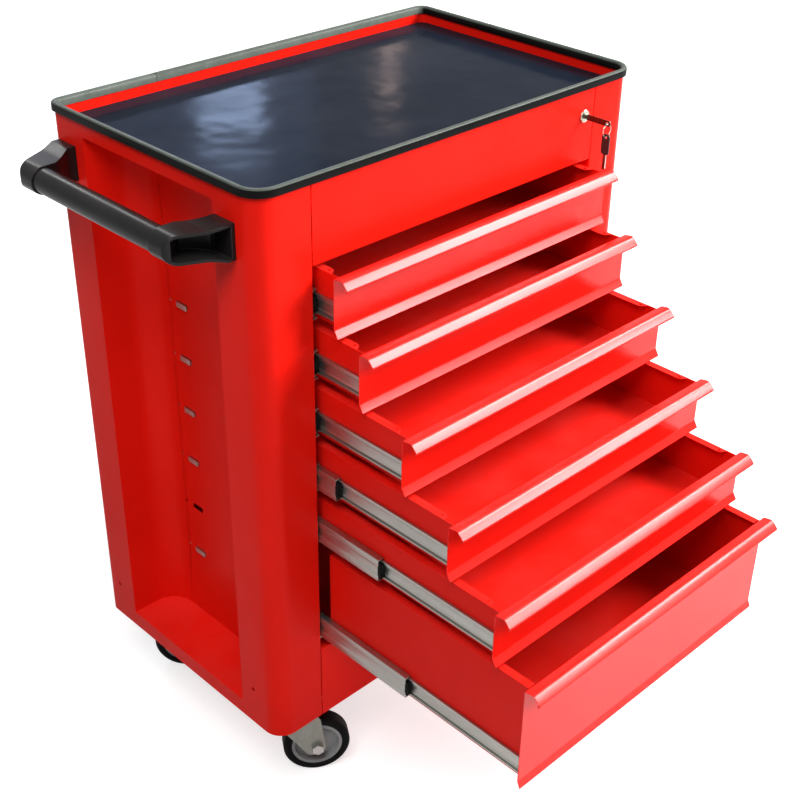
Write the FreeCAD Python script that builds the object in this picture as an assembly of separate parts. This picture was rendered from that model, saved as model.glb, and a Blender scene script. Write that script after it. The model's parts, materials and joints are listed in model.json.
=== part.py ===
import FreeCAD, Part
import math
import os

V = FreeCAD.Vector

# Driving sizes in millimetres. x runs right from the left side plane, y runs back from the
# front plane, z runs up from the underside of the body. Everything is moved to the origin
# under the middle of the whole object when it is written.

# Body
WIDTH = 680.0
DEPTH = 418.0
SKIN = 1.2
FRONT_R = 30.0
REAR_R = 15.0
LEAST_R = 1.0
POST_W = 81.2
POST_EDGE_R = 1.5
RETURN_DEPTH = 40.0
REAR_FLANGE = 30.0
SEAM = 0.8
TOUCH = 0.1
PAST = 1.0

# Base pan, plinth, fascia and back
PAN_H = 14.0
PAN_T = 1.5
PAN_GAP = 1.0
PLINTH_TOP = 124.0
PLINTH_FLANGE = 25.0
FASCIA_H = 115.0
FASCIA_FLANGE = 20.0
FLANGE_LIP = 8.0
FOLD_R = 2.0
BACK_T = 1.0
BACK_EDGE_IN = 1.0

# Top tray, mat and edge trim
TRAY_T = 1.0
TRAY_DEPTH = 26.0
MAT_T = 3.0
MAT_GAP = 0.8
TRIM_DOWN = 9.0
TRIM_OVER = 2.0
TRIM_OUT = 4.0
TRIM_WALL = 1.5
TRIM_EDGE_R = 3.0
TRIM_CLEAR = 0.1
TRIM_JOINT_X = 164.5
TRIM_JOINT_GAP = 0.8

# Well and window in each side
WINDOW_FRONT = 81.0
WINDOW_REAR_IN = 70.0
WINDOW_BOTTOM = 26.0
WINDOW_UNDER_TRAY = 3.0
WINDOW_R = 3.0
WELL_R = 40.0
WELL_FLANGE = 10.0
SIDE_HOLE_R = 3.2
SIDE_HOLE_FRONT = (55.0, 64.0)
SIDE_HOLE_REAR_IN = 33.0
SIDE_HOLE_REAR_Z = 61.0

# Drawers
DRAWERS = 6
OPEN_AT_REST = (32.9, 76.9, 151.6, 231.4, 311.1, 364.3)
PANEL_H = 67.0
DEEP_PANEL_H = 148.0
ROW_GAP = 17.6
FASCIA_GAP = 6.6
PLINTH_GAP = 6.9
PANEL_SIDE_GAP = 3.8
PANEL_T = 1.2
FLARE_DROP = 10.5
FLARE_OUT = 6.4
DEEP_FLARE_OUT = 4.4
FLARE_R = 6.0
LIP_RISE = 4.2
LIP_ARCH = 15.2
LIP_REACH = 27.2
LIP_DROP = 8.6
LIP_CURL = 5.6
LIP_ROOT_R = 3.4
LIP_ARCH_R = 8.0
LIP_NOSE_R = 2.4
DRAWER_SHEET = 1.0
DRAWER_REAR_GAP = 43.0
DRAWER_FLANGE = 11.5
FLANGE_SET_BACK = 16.5
FLANGE_HOLE_R = 2.0
FLANGE_HOLE_IN = 8.0
FRONT_UPSTAND = 24.0

# Telescopic slides, drawn as a section: across from the wall, up from the middle
SLIDE_T = 12.7
SLIDE_FRONT = 4.0
SLIDE_REAR_GAP = 2.0
STAGE_TRAVEL = 190.0
SLIDE_SHEET = 1.2
OUTER_H = 42.0
OUTER_DEEP = 9.0
MIDDLE_H = 34.0
MIDDLE_SET = 1.6
MIDDLE_END = 12.0
INNER_H = 27.2
INNER_END = 8.0
OUTER_LIP = 2.2
MIDDLE_LIP = 1.6
INNER_LIP = 2.4
CAGE_LENGTH = 180.0
CAGE_W = 4.0
CAGE_CLEAR = 0.15
CAGE_SIDE_CLEAR = 1.0
CAGE_END_GAP = 5.0
HOOK_REAR_IN = 76.0
HOOK_L = 22.0
HOOK_H = 8.0
HOOK_UP = 4.0
HOOK_OUT = 2.6
HOOK_CLEAR = 0.4
PEG_HOLE_BACK = 28.0
PEG_HOLE_R = 2.5

# Push handle on the left side
HANDLE_BELOW_TRIM = 34.5
HANDLE_OUT = 62.0
TUBE_R = 16.8
TUBE_WALL = 1.5
TUBE_FIT = 0.05
BOSS_R = 19.0
BOSS_W = 33.0
BOSS_END_R = 8.0
BOSS_END_STEPS = 3
FOOT_FRONT_Y = 58.0
FOOT_REAR_IN = 33.0
FOOT_W = 38.0
FOOT_H = 53.0
FOOT_DEEP = 12.0
FOOT_EDGE_R = 5.0
ARM_SLANT = 24.0
ARM_WAIST = 34.0
ARM_SWEEP_R = 30.0
ARM_WALL = 4.0
ARM_R = 6.0
POCKET_R = 3.0
TUBE_END_GAP = 5.0

# Castors
CASTOR_H = 128.0
WHEEL_R = 50.0
WHEEL_W = 28.0
HUB_R = 38.0
HUB_BOSS_R = 12.0
HUB_WEB = 5.0
HUB_RIM_R = 33.0
HUB_RIM_W = 24.0
HUB_SIDE_GAP = 0.5
TYRE_SHOULDER = 4.5
TYRE_SHOULDER_IN = 1.8
TYRE_SEAT = 0.05
TYRE_SIDE_STEP = 2.0
FORK_T = 3.0
FORK_GAP = 2.0
CROWN_OVER_WHEEL = 9.0
AXLE_R = 5.0
AXLE_FIT = 0.05
FORK_EYE_R = 13.5
FORK_EYE_EDGE = 0.1
FORK_EDGE_R = 8.0
FORK_SHOULDER = 6.0
TRAIL = 34.0
SWIVEL_REST = (-33.0, -41.0)
PIVOT_IN_X = 64.0
PIVOT_IN_Y = 48.0
PLATE_L = 96.0
PLATE_W = 76.0
PLATE_T = 3.0
PLATE_R = 8.0
RACE_R = 29.0
RACE_FIT = 0.05
CROWN_R = 30.0
KING_R = 9.0
BOLT_SPAN_L = 78.0
BOLT_SPAN_W = 58.0
BOLT_R = 3.0
BOLT_FIT = 0.3
BOLT_HEAD = 10.0
BOLT_HEAD_H = 4.0
AXLE_HEAD = 16.0
AXLE_HEAD_H = 6.0

# Central lock
LOCK_IN = 102.0
LOCK_BELOW_RIM = 47.4
BARREL_R = 9.0
BARREL_FACE = 3.0
BARREL_BEVEL = 1.0
BARREL_BODY_R = 7.5
BARREL_L = 22.0
PLUG_R = 5.5
PLUG_FIT = 0.05
ROD_R = 4.0
ROD_FIT = 0.1
CRANK_R = 4.95
CRANK_DISC_R = 10.0
CRANK_DISC_T = 2.0
CRANK_GAP = 0.3
CRANK_PIN_R = 2.5
CRANK_PIN_FIT = 0.3
BAR_ROOM = 15.8
BAR_T = 2.0
BAR_W = 20.0
BAR_OVER_LOCK = 10.4
BAR_UNDER_HOOK = 8.6
GUIDE_IN = (78.0, 127.0)
GUIDE_H = 16.0
GUIDE_CHEEK = 2.4
GUIDE_CLEAR = 0.3
LUG_W = 12.0
LUG_OUT = 11.0
LUG_T = 1.2
LUG_BELOW_TOP = 12.0
LUG_DROP = 6.0
HOOK_BELOW_LUG = 2.0
NIB_H = 6.0
NIB_T = 1.6
NIB_FROM_TRAY = 3.0
ROD_BRACKET_IN = 20.0
ROD_BRACKET_T = 2.0
ROD_BRACKET_W = 30.0
KEY_OUT = 46.0
KEY_H = 8.0
KEY_T = 2.2
KEY_BOW_R = 3.0
KEY_NECK_R = 0.8
KEY_NECK = 3.0
KEY_BLADE_H = 6.0
KEY_BLADE_IN = 14.0
KEY_HOLE_R = 2.2
KEY_HOLE_IN = 5.0
KEY_FIT = 0.05
RING_R = 8.5
RING_WIRE_R = 0.8
RING_SIDES = 6
SPARE_HEAD_L = 29.0
SPARE_HEAD_W = 13.0
SPARE_HEAD_R = 4.0
SPARE_NECK_R = 3.5
SPARE_BLADE_L = 22.0
SPARE_BLADE_W = 5.0
SPARE_BLADE_T = 1.6
SPARE_TIP_R = 2.0
SPARE_T = 2.2
SPARE_HOLE_IN = 4.5
SPARE_HOLE_R = 2.2

# Heights that follow, from the plinth up through the drawers to the rim
PITCH = PANEL_H + ROW_GAP
PANEL_TOP = PLINTH_TOP + PLINTH_GAP + FLARE_DROP + DEEP_PANEL_H + PITCH * (DRAWERS - 1)
SLIDE_TOPS = [PANEL_TOP - PITCH * i for i in range(DRAWERS)]
PANEL_HEIGHTS = [PANEL_H] * (DRAWERS - 1) + [DEEP_PANEL_H]
SLIDE_BOTTOMS = [top - high for top, high in zip(SLIDE_TOPS, PANEL_HEIGHTS)]
FASCIA_BOTTOM = PANEL_TOP + FASCIA_GAP
RIM_TOP = FASCIA_BOTTOM + FASCIA_H
TRAY_FLOOR_TOP = RIM_TOP - TRAY_DEPTH
TRIM_BOTTOM = RIM_TOP - TRIM_DOWN
TRIM_TOP = RIM_TOP + TRIM_OVER
WINDOW_TOP = TRAY_FLOOR_TOP - TRAY_T - WINDOW_UNDER_TRAY
HANDLE_Z = TRIM_BOTTOM - HANDLE_BELOW_TRIM - FOOT_H / 2
LOCK_Z = RIM_TOP - LOCK_BELOW_RIM
BAR_TOP = LOCK_Z + BAR_OVER_LOCK
LOWEST_HOOK = SLIDE_TOPS[-1] - LUG_BELOW_TOP - LUG_T - LUG_DROP - HOOK_BELOW_LUG - NIB_H - NIB_T
BAR_BOTTOM = LOWEST_HOOK - BAR_UNDER_HOOK
BAR_GUIDES = (BAR_BOTTOM + GUIDE_IN[0], BAR_TOP - GUIDE_IN[1])
AXLE_Z = WHEEL_R - CASTOR_H
CROWN_Z = AXLE_Z + WHEEL_R + CROWN_OVER_WHEEL

# Depths and widths that follow, from the rear sheet forward
WALL_IN = POST_W
TRAY_SIDE = WALL_IN + SLIDE_T + TOUCH
BACK_FACE = DEPTH - SKIN
BACK_FRONT = BACK_FACE - BACK_T
BAR_Y = BACK_FRONT - BAR_ROOM
TRAY_REAR = BAR_Y - DRAWER_REAR_GAP
ROD_BRACKET_Y = BAR_Y - ROD_BRACKET_IN
SLIDE_L = TRAY_REAR - SLIDE_REAR_GAP - SLIDE_FRONT
CAGE_L = min(CAGE_LENGTH, SLIDE_L - 2 * CAGE_END_GAP)
TRAY_IN = SKIN + TOUCH
TRAY_REAR_LINE = BACK_FRONT - TOUCH
WINDOW_REAR = DEPTH - WINDOW_REAR_IN
HOOK_Y = WINDOW_REAR - HOOK_REAR_IN
PEG_HOLE_Y = HOOK_Y + PEG_HOLE_BACK
FOOT_REAR_Y = DEPTH - FOOT_REAR_IN
SIDE_HOLES = (SIDE_HOLE_FRONT, (DEPTH - SIDE_HOLE_REAR_IN, SIDE_HOLE_REAR_Z))
LOCK_X = WIDTH - LOCK_IN
RAIL_AT_REST = [max(0.0, out - STAGE_TRAVEL) for out in OPEN_AT_REST]
TINY = 1e-7


def box(x0, x1, y0, y1, z0, z1):
    """Block between two corners."""
    return Part.makeBox(x1 - x0, y1 - y0, z1 - z0, V(x0, y0, z0))


def bar(start, end, radius):
    """Round bar from one point to another."""
    way = end.sub(start)
    return Part.makeCylinder(radius, way.Length, start, way)


def along(axis, level):
    """Lays a flat point (u, v) in space, square to an axis and at a level on it."""
    ways = {
        "x": lambda p: V(level, p.x, p.y),
        "y": lambda p: V(p.x, level, p.y),
        "z": lambda p: V(p.x, p.y, level),
    }
    return ways[axis]


def face(points, axis, level):
    """Flat face through points (u, v) or (u, v, corner radius)."""
    lay = along(axis, level)
    spots = [V(p[0], p[1], 0) for p in points]
    radii = [p[2] if len(p) > 2 else 0.0 for p in points]
    runs = []
    for i, spot in enumerate(spots):
        if radii[i] <= TINY:
            runs.append((spot, None, spot))
            continue
        back = (spots[i - 1] - spot).normalize()
        ahead = (spots[(i + 1) % len(spots)] - spot).normalize()
        half = back.getAngle(ahead) / 2
        cut = radii[i] / math.tan(half)
        middle = (back + ahead).normalize() * (radii[i] / math.sin(half) - radii[i])
        runs.append((spot + back * cut, spot + middle, spot + ahead * cut))
    edges = []
    for i, (start, middle, end) in enumerate(runs):
        if middle is not None:
            edges.append(Part.Arc(lay(start), lay(middle), lay(end)).toShape())
        following = runs[(i + 1) % len(runs)][0]
        if end.distanceToPoint(following) > TINY:
            edges.append(Part.LineSegment(lay(end), lay(following)).toShape())
    return Part.Face(Part.Wire(edges))


def prism(points, axis, low, high):
    """Solid drawn out from a flat outline between two levels of an axis."""
    ways = {"x": V(1, 0, 0), "y": V(0, 1, 0), "z": V(0, 0, 1)}
    return face(points, axis, low).extrude(ways[axis] * (high - low))


def turned(outline):
    """Turns a section of (radius, y) points round the y axis."""
    return face(outline, "z", 0).revolve(V(0, 0, 0), V(0, 1, 0), 360)


def sheet(path, thick):
    """Outline of folded sheet. The path is one face, and thick lies to its left."""
    spots = [V(p[0], p[1], 0) for p in path]
    radii = [p[2] if len(p) > 2 else 0.0 for p in path]
    ways = [(spots[i + 1] - spots[i]).normalize() for i in range(len(spots) - 1)]
    other = []
    for i, spot in enumerate(spots):
        before = ways[max(i - 1, 0)]
        after = ways[min(i, len(ways) - 1)]
        left = V(-before.y, before.x, 0) + V(-after.y, after.x, 0)
        shift = left * (thick / (1.0 + before.dot(after)))
        turn = before.cross(after).z
        radius = 0.0
        if abs(turn) > TINY:
            radius = max(0.0, radii[i] - (thick if turn > 0 else -thick))
        other.append((spot.x + shift.x, spot.y + shift.y, radius))
    return [(p.x, p.y, r) for p, r in zip(spots, radii)] + other[::-1]


def rounded(u0, u1, v0, v1, r_low, r_high=None):
    """Rectangle with rounded corners. The low v side may round otherwise than the high one."""
    r_high = r_low if r_high is None else r_high
    return [(u0, v0, r_low), (u1, v0, r_low), (u1, v1, r_high), (u0, v1, r_high)]


def body_outline(inset, rear_inset=None):
    """Plan of the body, taken in by an inset from its outer skin."""
    rear_inset = inset if rear_inset is None else rear_inset
    front = FRONT_R - inset
    rear = max(REAR_R - rear_inset, LEAST_R)
    return rounded(inset, WIDTH - inset, inset, DEPTH - rear_inset, front, rear)


def mirror_x(shape, middle=WIDTH / 2):
    """The same shape on the other side of the cabinet."""
    return shape.mirror(V(middle, 0, 0), V(1, 0, 0))


def fused(shapes):
    """One solid from several that meet."""
    whole = shapes[0].multiFuse(shapes[1:]) if len(shapes) > 1 else shapes[0]
    return whole.removeSplitter()


def group(shapes):
    """Separate solids in one node."""
    solids = []
    for shape in shapes:
        solids.extend(shape.Solids)
    return Part.makeCompound(solids)


def side_panel():
    """Left side: front post, skin with its window, rear corner and rear flange."""
    path = [
        (POST_W, RETURN_DEPTH),
        (POST_W, 0, POST_EDGE_R),
        (0, 0, FRONT_R),
        (0, DEPTH, REAR_R),
        (REAR_FLANGE, DEPTH),
    ]
    skin = prism(sheet(path, -SKIN), "z", 0, RIM_TOP)
    window = rounded(WINDOW_FRONT, WINDOW_REAR, WINDOW_BOTTOM, WINDOW_TOP, WINDOW_R)
    cuts = [prism(window, "x", -SKIN, 2 * SKIN)]
    return_x = POST_W - 2 * SKIN
    for low, high in ((-PAST, PAN_H + PAN_GAP), (TRAY_FLOOR_TOP - 2 * TRAY_T, RIM_TOP + PAST)):
        cuts.append(box(return_x, POST_W + PAST, SKIN, RETURN_DEPTH + PAST, low, high))
    for y, z in SIDE_HOLES:
        cuts.append(bar(V(-PAST, y, z), V(2 * SKIN, y, z), SIDE_HOLE_R))
    return skin.cut(cuts)


def side_well():
    """Left well: a deep pan behind the window, with large rounded upright corners."""
    wall = WALL_IN - SKIN
    hollow = [
        (-PAST, WINDOW_FRONT),
        (wall, WINDOW_FRONT, WELL_R),
        (wall, WINDOW_REAR, WELL_R),
        (-PAST, WINDOW_REAR),
    ]
    shell = [
        (SKIN, WINDOW_FRONT - SKIN),
        (WALL_IN, WINDOW_FRONT - SKIN, WELL_R + SKIN),
        (WALL_IN, WINDOW_REAR + SKIN, WELL_R + SKIN),
        (SKIN, WINDOW_REAR + SKIN),
    ]
    rim = box(
        SKIN, 2 * SKIN,
        WINDOW_FRONT - WELL_FLANGE, WINDOW_REAR + WELL_FLANGE,
        WINDOW_BOTTOM - WELL_FLANGE, WINDOW_TOP + 2 * SKIN,
    )
    pan = prism(shell, "z", WINDOW_BOTTOM - SKIN, WINDOW_TOP + SKIN)
    cuts = [prism(hollow, "z", WINDOW_BOTTOM, WINDOW_TOP)]
    heights = [bottom + HOOK_UP for bottom in SLIDE_BOTTOMS]
    spare_slot = heights[-2] - PITCH
    for z in heights + [spare_slot]:
        cuts.append(box(
            wall - PAST, WALL_IN + PAST,
            HOOK_Y - HOOK_L / 2 - HOOK_CLEAR, HOOK_Y + HOOK_L / 2 + HOOK_CLEAR,
            z - HOOK_H / 2 - HOOK_CLEAR, z + HOOK_H / 2 + HOOK_CLEAR,
        ))
        cuts.append(bar(V(wall - PAST, PEG_HOLE_Y, z), V(WALL_IN + PAST, PEG_HOLE_Y, z), PEG_HOLE_R))
    return fused([pan, rim]).cut(cuts)


def back_panel():
    """Rear sheet behind the side flanges, with the guides of the lock bar."""
    left = REAR_R + BACK_EDGE_IN
    front = BACK_FRONT
    shapes = [box(left, WIDTH - left, front, BACK_FACE, 0, RIM_TOP)]
    half = BAR_W / 2 + GUIDE_CLEAR
    for z in BAR_GUIDES:
        path = [
            (LOCK_X - half - GUIDE_CHEEK, BAR_Y),
            (LOCK_X + half + GUIDE_CHEEK, BAR_Y),
            (LOCK_X + half + GUIDE_CHEEK, front),
            (LOCK_X - half - GUIDE_CHEEK, front),
        ]
        block = prism(path, "z", z - GUIDE_H / 2, z + GUIDE_H / 2)
        slot = box(
            LOCK_X - half, LOCK_X + half,
            BAR_Y - PAST, BAR_Y + BAR_T + GUIDE_CLEAR,
            z - GUIDE_H, z + GUIDE_H,
        )
        shapes.append(block.cut(slot))
    return fused(shapes)


def base_pan():
    """Floor of the body with an upturned edge, drilled for the castor bolts."""
    inset = SKIN + PAN_GAP
    rear = SKIN + BACK_T + PAN_GAP
    outer = prism(body_outline(inset, rear), "z", 0, PAN_H)
    inner = prism(body_outline(inset + PAN_T, rear + PAN_T), "z", PAN_T, PAN_H + PAST)
    holes = []
    for x, y in bolt_places():
        holes.append(bar(V(x, y, -PAST), V(x, y, PAN_T + PAST), BOLT_R + BOLT_FIT))
    return outer.cut([inner] + holes)


def plinth_panel():
    """Bottom front panel with its top folded back and down."""
    path = [
        (PLINTH_FLANGE, PLINTH_TOP - FLANGE_LIP),
        (PLINTH_FLANGE, PLINTH_TOP, FOLD_R),
        (0, PLINTH_TOP, FOLD_R),
        (0, 0),
    ]
    return prism(sheet(path, SKIN), "x", POST_W + SEAM, WIDTH - POST_W - SEAM)


def fascia():
    """Front panel above the drawers, folded back at its lower edge, bored for the lock."""
    path = [
        (0, RIM_TOP),
        (0, FASCIA_BOTTOM, FOLD_R),
        (FASCIA_FLANGE, FASCIA_BOTTOM, FOLD_R),
        (FASCIA_FLANGE, FASCIA_BOTTOM + FLANGE_LIP),
    ]
    panel = prism(sheet(path, SKIN), "x", POST_W + SEAM, WIDTH - POST_W - SEAM)
    bore = bar(V(LOCK_X, -PAST, LOCK_Z), V(LOCK_X, SKIN + PAST, LOCK_Z), BARREL_BODY_R + TOUCH)
    return panel.cut(bore)


def top_tray():
    """Shallow tray that closes the top, with the hanger of the lock rod under it."""
    rear = DEPTH - TRAY_REAR_LINE
    outer = prism(body_outline(TRAY_IN, rear), "z", TRAY_FLOOR_TOP - TRAY_T, RIM_TOP)
    inner = prism(body_outline(TRAY_IN + TRAY_T, rear + TRAY_T), "z", TRAY_FLOOR_TOP, RIM_TOP + PAST)
    under = TRAY_FLOOR_TOP - TRAY_T
    half = ROD_BRACKET_W / 2
    low = LOCK_Z - 2 * ROD_R
    plate = box(
        LOCK_X - half, LOCK_X + half,
        ROD_BRACKET_Y, ROD_BRACKET_Y + ROD_BRACKET_T,
        low, under,
    )
    eye = bar(
        V(LOCK_X, ROD_BRACKET_Y - PAST, LOCK_Z),
        V(LOCK_X, ROD_BRACKET_Y + ROD_BRACKET_T + PAST, LOCK_Z),
        ROD_R + ROD_FIT,
    )
    return fused([outer.cut(inner), plate.cut(eye)])


def rim_trim():
    """Channel of edge trim pressed over the rim all round, with one joint at the rear."""
    groove_in = DEPTH - TRAY_REAR_LINE + TRAY_T + TRIM_CLEAR
    outer = prism(body_outline(-TRIM_OUT), "z", TRIM_BOTTOM, TRIM_TOP)
    rim_edges = [e for e in outer.Edges if e.BoundBox.ZMin > TRIM_TOP - TOUCH]
    outer = outer.makeFillet(TRIM_EDGE_R, rim_edges)
    middle = prism(body_outline(groove_in + TRIM_WALL), "z", TRIM_BOTTOM - PAST, TRIM_TOP + PAST)
    groove = prism(body_outline(-TRIM_CLEAR), "z", TRIM_BOTTOM - PAST, RIM_TOP + TRIM_CLEAR)
    kept = prism(body_outline(groove_in), "z", TRIM_BOTTOM - 2 * PAST, RIM_TOP + PAST)
    joint = box(
        TRIM_JOINT_X - TRIM_JOINT_GAP / 2, TRIM_JOINT_X + TRIM_JOINT_GAP / 2,
        DEPTH - 2 * FRONT_R, DEPTH + 2 * TRIM_OUT,
        TRIM_BOTTOM - PAST, TRIM_TOP + PAST,
    )
    return outer.cut([middle, groove.cut(kept), joint])


def worktop_mat():
    """Rubber mat on the floor of the tray."""
    inset = TRAY_IN + TRAY_T + MAT_GAP
    rear = DEPTH - TRAY_REAR_LINE + TRAY_T + MAT_GAP
    return prism(body_outline(inset, rear), "z", TRAY_FLOOR_TOP, TRAY_FLOOR_TOP + MAT_T)


def handle_tube():
    """Round tube of the push handle."""
    front = FOOT_FRONT_Y + ARM_SLANT - BOSS_W / 2 + TUBE_END_GAP
    rear = FOOT_REAR_Y - ARM_SLANT + BOSS_W / 2 - TUBE_END_GAP
    start = V(-HANDLE_OUT, front, HANDLE_Z)
    end = V(-HANDLE_OUT, rear, HANDLE_Z)
    return bar(start, end, TUBE_R).cut(bar(start, end, TUBE_R - TUBE_WALL))


def bracket_profile(inset):
    """Side view of the bracket's arm: as high as the boss, sweeping out to the foot."""
    arm = BOSS_R - inset
    foot = FOOT_H / 2 - inset
    upper = [
        (-HANDLE_OUT, HANDLE_Z + arm),
        (-ARM_WAIST, HANDLE_Z + arm, ARM_SWEEP_R),
        (-FOOT_DEEP, HANDLE_Z + foot),
        (0, HANDLE_Z + foot),
    ]
    lower = [(p[0], 2 * HANDLE_Z - p[1]) + tuple(p[2:]) for p in reversed(upper)]
    return upper + lower


def handle_bracket():
    """Front bracket: a slanted arm, hollow towards the front, with the boss that takes the tube."""
    boss_y = FOOT_FRONT_Y + ARM_SLANT
    boss_low = boss_y - BOSS_W / 2
    boss_high = boss_y + BOSS_W / 2
    foot_low = FOOT_FRONT_Y - FOOT_W / 2
    foot_high = FOOT_FRONT_Y + FOOT_W / 2
    plan = [
        (0, foot_low),
        (0, foot_high),
        (-FOOT_DEEP, foot_high, FOOT_EDGE_R),
        (-HANDLE_OUT + BOSS_R, boss_high, ARM_R),
        (-HANDLE_OUT, boss_high),
        (-HANDLE_OUT, boss_low + BOSS_END_R),
        (-FOOT_DEEP, foot_low, FOOT_EDGE_R),
    ]
    arm = prism(plan, "z", HANDLE_Z - FOOT_H, HANDLE_Z + FOOT_H)
    arm = arm.common(prism(bracket_profile(0), "y", 0, boss_high + PAST))
    turns = [math.radians(90 * i / BOSS_END_STEPS) for i in range(BOSS_END_STEPS + 1)]
    shoulder = [
        (BOSS_R - BOSS_END_R * (1 - math.sin(t)), boss_low + BOSS_END_R * (1 - math.cos(t)))
        for t in turns
    ]
    boss = turned([(0, boss_low)] + shoulder + [(BOSS_R, boss_high), (0, boss_high)])
    boss.translate(V(-HANDLE_OUT, 0, HANDLE_Z))
    pocket_plan = [
        (-FOOT_DEEP, 0),
        (-FOOT_DEEP, foot_high - ARM_WALL, POCKET_R),
        (-HANDLE_OUT + BOSS_R, boss_high - ARM_WALL - POCKET_R, POCKET_R),
        (-HANDLE_OUT, boss_high - ARM_WALL),
        (-HANDLE_OUT, 0),
    ]
    pocket = prism(pocket_plan, "z", HANDLE_Z - FOOT_H, HANDLE_Z + FOOT_H)
    pocket = pocket.common(prism(bracket_profile(ARM_WALL), "y", 0, boss_high))
    start = V(-HANDLE_OUT, boss_low + TUBE_END_GAP - TOUCH, HANDLE_Z)
    bore = bar(start, V(-HANDLE_OUT, boss_high + PAST, HANDLE_Z), TUBE_R + TUBE_FIT)
    return fused([arm.cut(pocket), boss]).cut(bore)


def handle_brackets():
    """The two brackets, each the mirror of the other."""
    front = handle_bracket()
    middle = (FOOT_FRONT_Y + FOOT_REAR_Y) / 2
    return group([front, front.mirror(V(0, middle, 0), V(0, 1, 0))])


def slide_section(wall, far, high, lip):
    """Channel section between a wall face and a far edge, with lips turned in at the edge."""
    half = high / 2
    way = math.copysign(1, far - wall)
    path = [
        (far, half - lip),
        (far, half),
        (wall, half),
        (wall, -half),
        (far, -half),
        (far, -half + lip),
    ]
    return sheet(path, SLIDE_SHEET * way)


def channel(wall, far, high, lip, middle_z):
    """Left slide member, closed position."""
    section = [(WALL_IN + u, middle_z + v) for u, v, r in slide_section(wall, far, high, lip)]
    return prism(section, "y", SLIDE_FRONT, SLIDE_FRONT + SLIDE_L)


def ball_cages(u, low, high, middle_z, start):
    """Upper and lower ball cage of one stage, as long as the balls run."""
    cages = []
    for a, b in ((low, high), (-high, -low)):
        cages.append(box(
            WALL_IN + u, WALL_IN + u + CAGE_W,
            start, start + CAGE_L,
            middle_z + a, middle_z + b,
        ))
    return cages


def slide_middle(i):
    """Height of a slide's middle line. Its bottom is level with the drawer's."""
    return SLIDE_BOTTOMS[i] + OUTER_H / 2


def cabinet_slides():
    """Fixed members of all slides, hooked through the well walls, with their ball cages."""
    shapes = []
    for i in range(DRAWERS):
        middle = slide_middle(i)
        member = channel(0, OUTER_DEEP, OUTER_H, OUTER_LIP, middle)
        z = SLIDE_BOTTOMS[i] + HOOK_UP
        out = WALL_IN - SKIN - HOOK_OUT
        hook = box(
            out, WALL_IN + SLIDE_SHEET,
            HOOK_Y - HOOK_L / 2, HOOK_Y + HOOK_L / 2,
            z + HOOK_H / 2 - SLIDE_SHEET, z + HOOK_H / 2,
        )
        tip = box(
            out, out + SLIDE_SHEET,
            HOOK_Y - HOOK_L / 2, HOOK_Y + HOOK_L / 2,
            z - HOOK_H / 2, z + HOOK_H / 2,
        )
        cages = ball_cages(
            OUTER_DEEP - SLIDE_SHEET - CAGE_W,
            MIDDLE_H / 2 + CAGE_CLEAR, OUTER_H / 2 - SLIDE_SHEET,
            middle, SLIDE_FRONT + CAGE_END_GAP,
        )
        for shape in [fused([member, hook, tip])] + cages:
            shapes.append(shape)
            shapes.append(mirror_x(shape))
    return group(shapes)


def slide_rails(i):
    """Pair of middle members with the ball cages of the drawer members."""
    middle = slide_middle(i)
    shapes = [channel(MIDDLE_SET, MIDDLE_END, MIDDLE_H, MIDDLE_LIP, middle)]
    shapes += ball_cages(
        MIDDLE_END - SLIDE_SHEET - CAGE_W - CAGE_SIDE_CLEAR,
        INNER_H / 2 + CAGE_CLEAR, MIDDLE_H / 2 - SLIDE_SHEET,
        middle, SLIDE_FRONT + CAGE_END_GAP,
    )
    return group(shapes + [mirror_x(shape) for shape in shapes])


def drawer_runners(i):
    """Pair of drawer members, fixed to the sides of the drawer."""
    member = channel(SLIDE_T, INNER_END, INNER_H, INNER_LIP, slide_middle(i))
    return group([member, mirror_x(member)])


def drawer_tray(i):
    """Drawer body: floor, sides with inward flanges, rear wall with lug, front upstand."""
    top = SLIDE_TOPS[i]
    low = SLIDE_BOTTOMS[i]
    deep = i == DRAWERS - 1
    left = TRAY_SIDE
    right = WIDTH - TRAY_SIDE
    sheet_t = DRAWER_SHEET
    shell = box(left, right, PANEL_T, TRAY_REAR, low, top)
    cuts = [
        box(
            left + sheet_t, right - sheet_t,
            PANEL_T + sheet_t, TRAY_REAR - sheet_t, low + sheet_t, top - sheet_t,
        ),
        box(
            left + DRAWER_FLANGE, right - DRAWER_FLANGE,
            PANEL_T + sheet_t, TRAY_REAR - DRAWER_FLANGE, top - 2 * sheet_t, top + PAST,
        ),
        box(
            left + sheet_t, right - sheet_t,
            0, PANEL_T + 2 * sheet_t, low + FRONT_UPSTAND, top + PAST,
        ),
    ]
    if not deep:
        start = FLANGE_SET_BACK
        side = left + sheet_t
        round_end = DRAWER_FLANGE - sheet_t
        for flip in (False, True):
            round_y = start + round_end
            gap = box(side, left + DRAWER_FLANGE + PAST, 0, round_y, top - sheet_t, top + PAST)
            gap = gap.cut(bar(V(side, round_y, low), V(side, round_y, top + PAST), round_end))
            hole_x = side + round_end / 2
            hole_y = start + FLANGE_HOLE_IN
            hole = bar(V(hole_x, hole_y, top - 2 * sheet_t), V(hole_x, hole_y, top + PAST), FLANGE_HOLE_R)
            cuts += [mirror_x(gap), mirror_x(hole)] if flip else [gap, hole]
    lug_top = top - LUG_BELOW_TOP
    half = LUG_W / 2
    lug = box(LOCK_X - half, LOCK_X + half, TRAY_REAR, TRAY_REAR + LUG_OUT, lug_top - LUG_T, lug_top)
    drop = box(
        LOCK_X - half, LOCK_X + half,
        TRAY_REAR + LUG_OUT - LUG_T, TRAY_REAR + LUG_OUT,
        lug_top - LUG_T - LUG_DROP, lug_top,
    )
    return fused([shell.cut(cuts), lug, drop])


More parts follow.
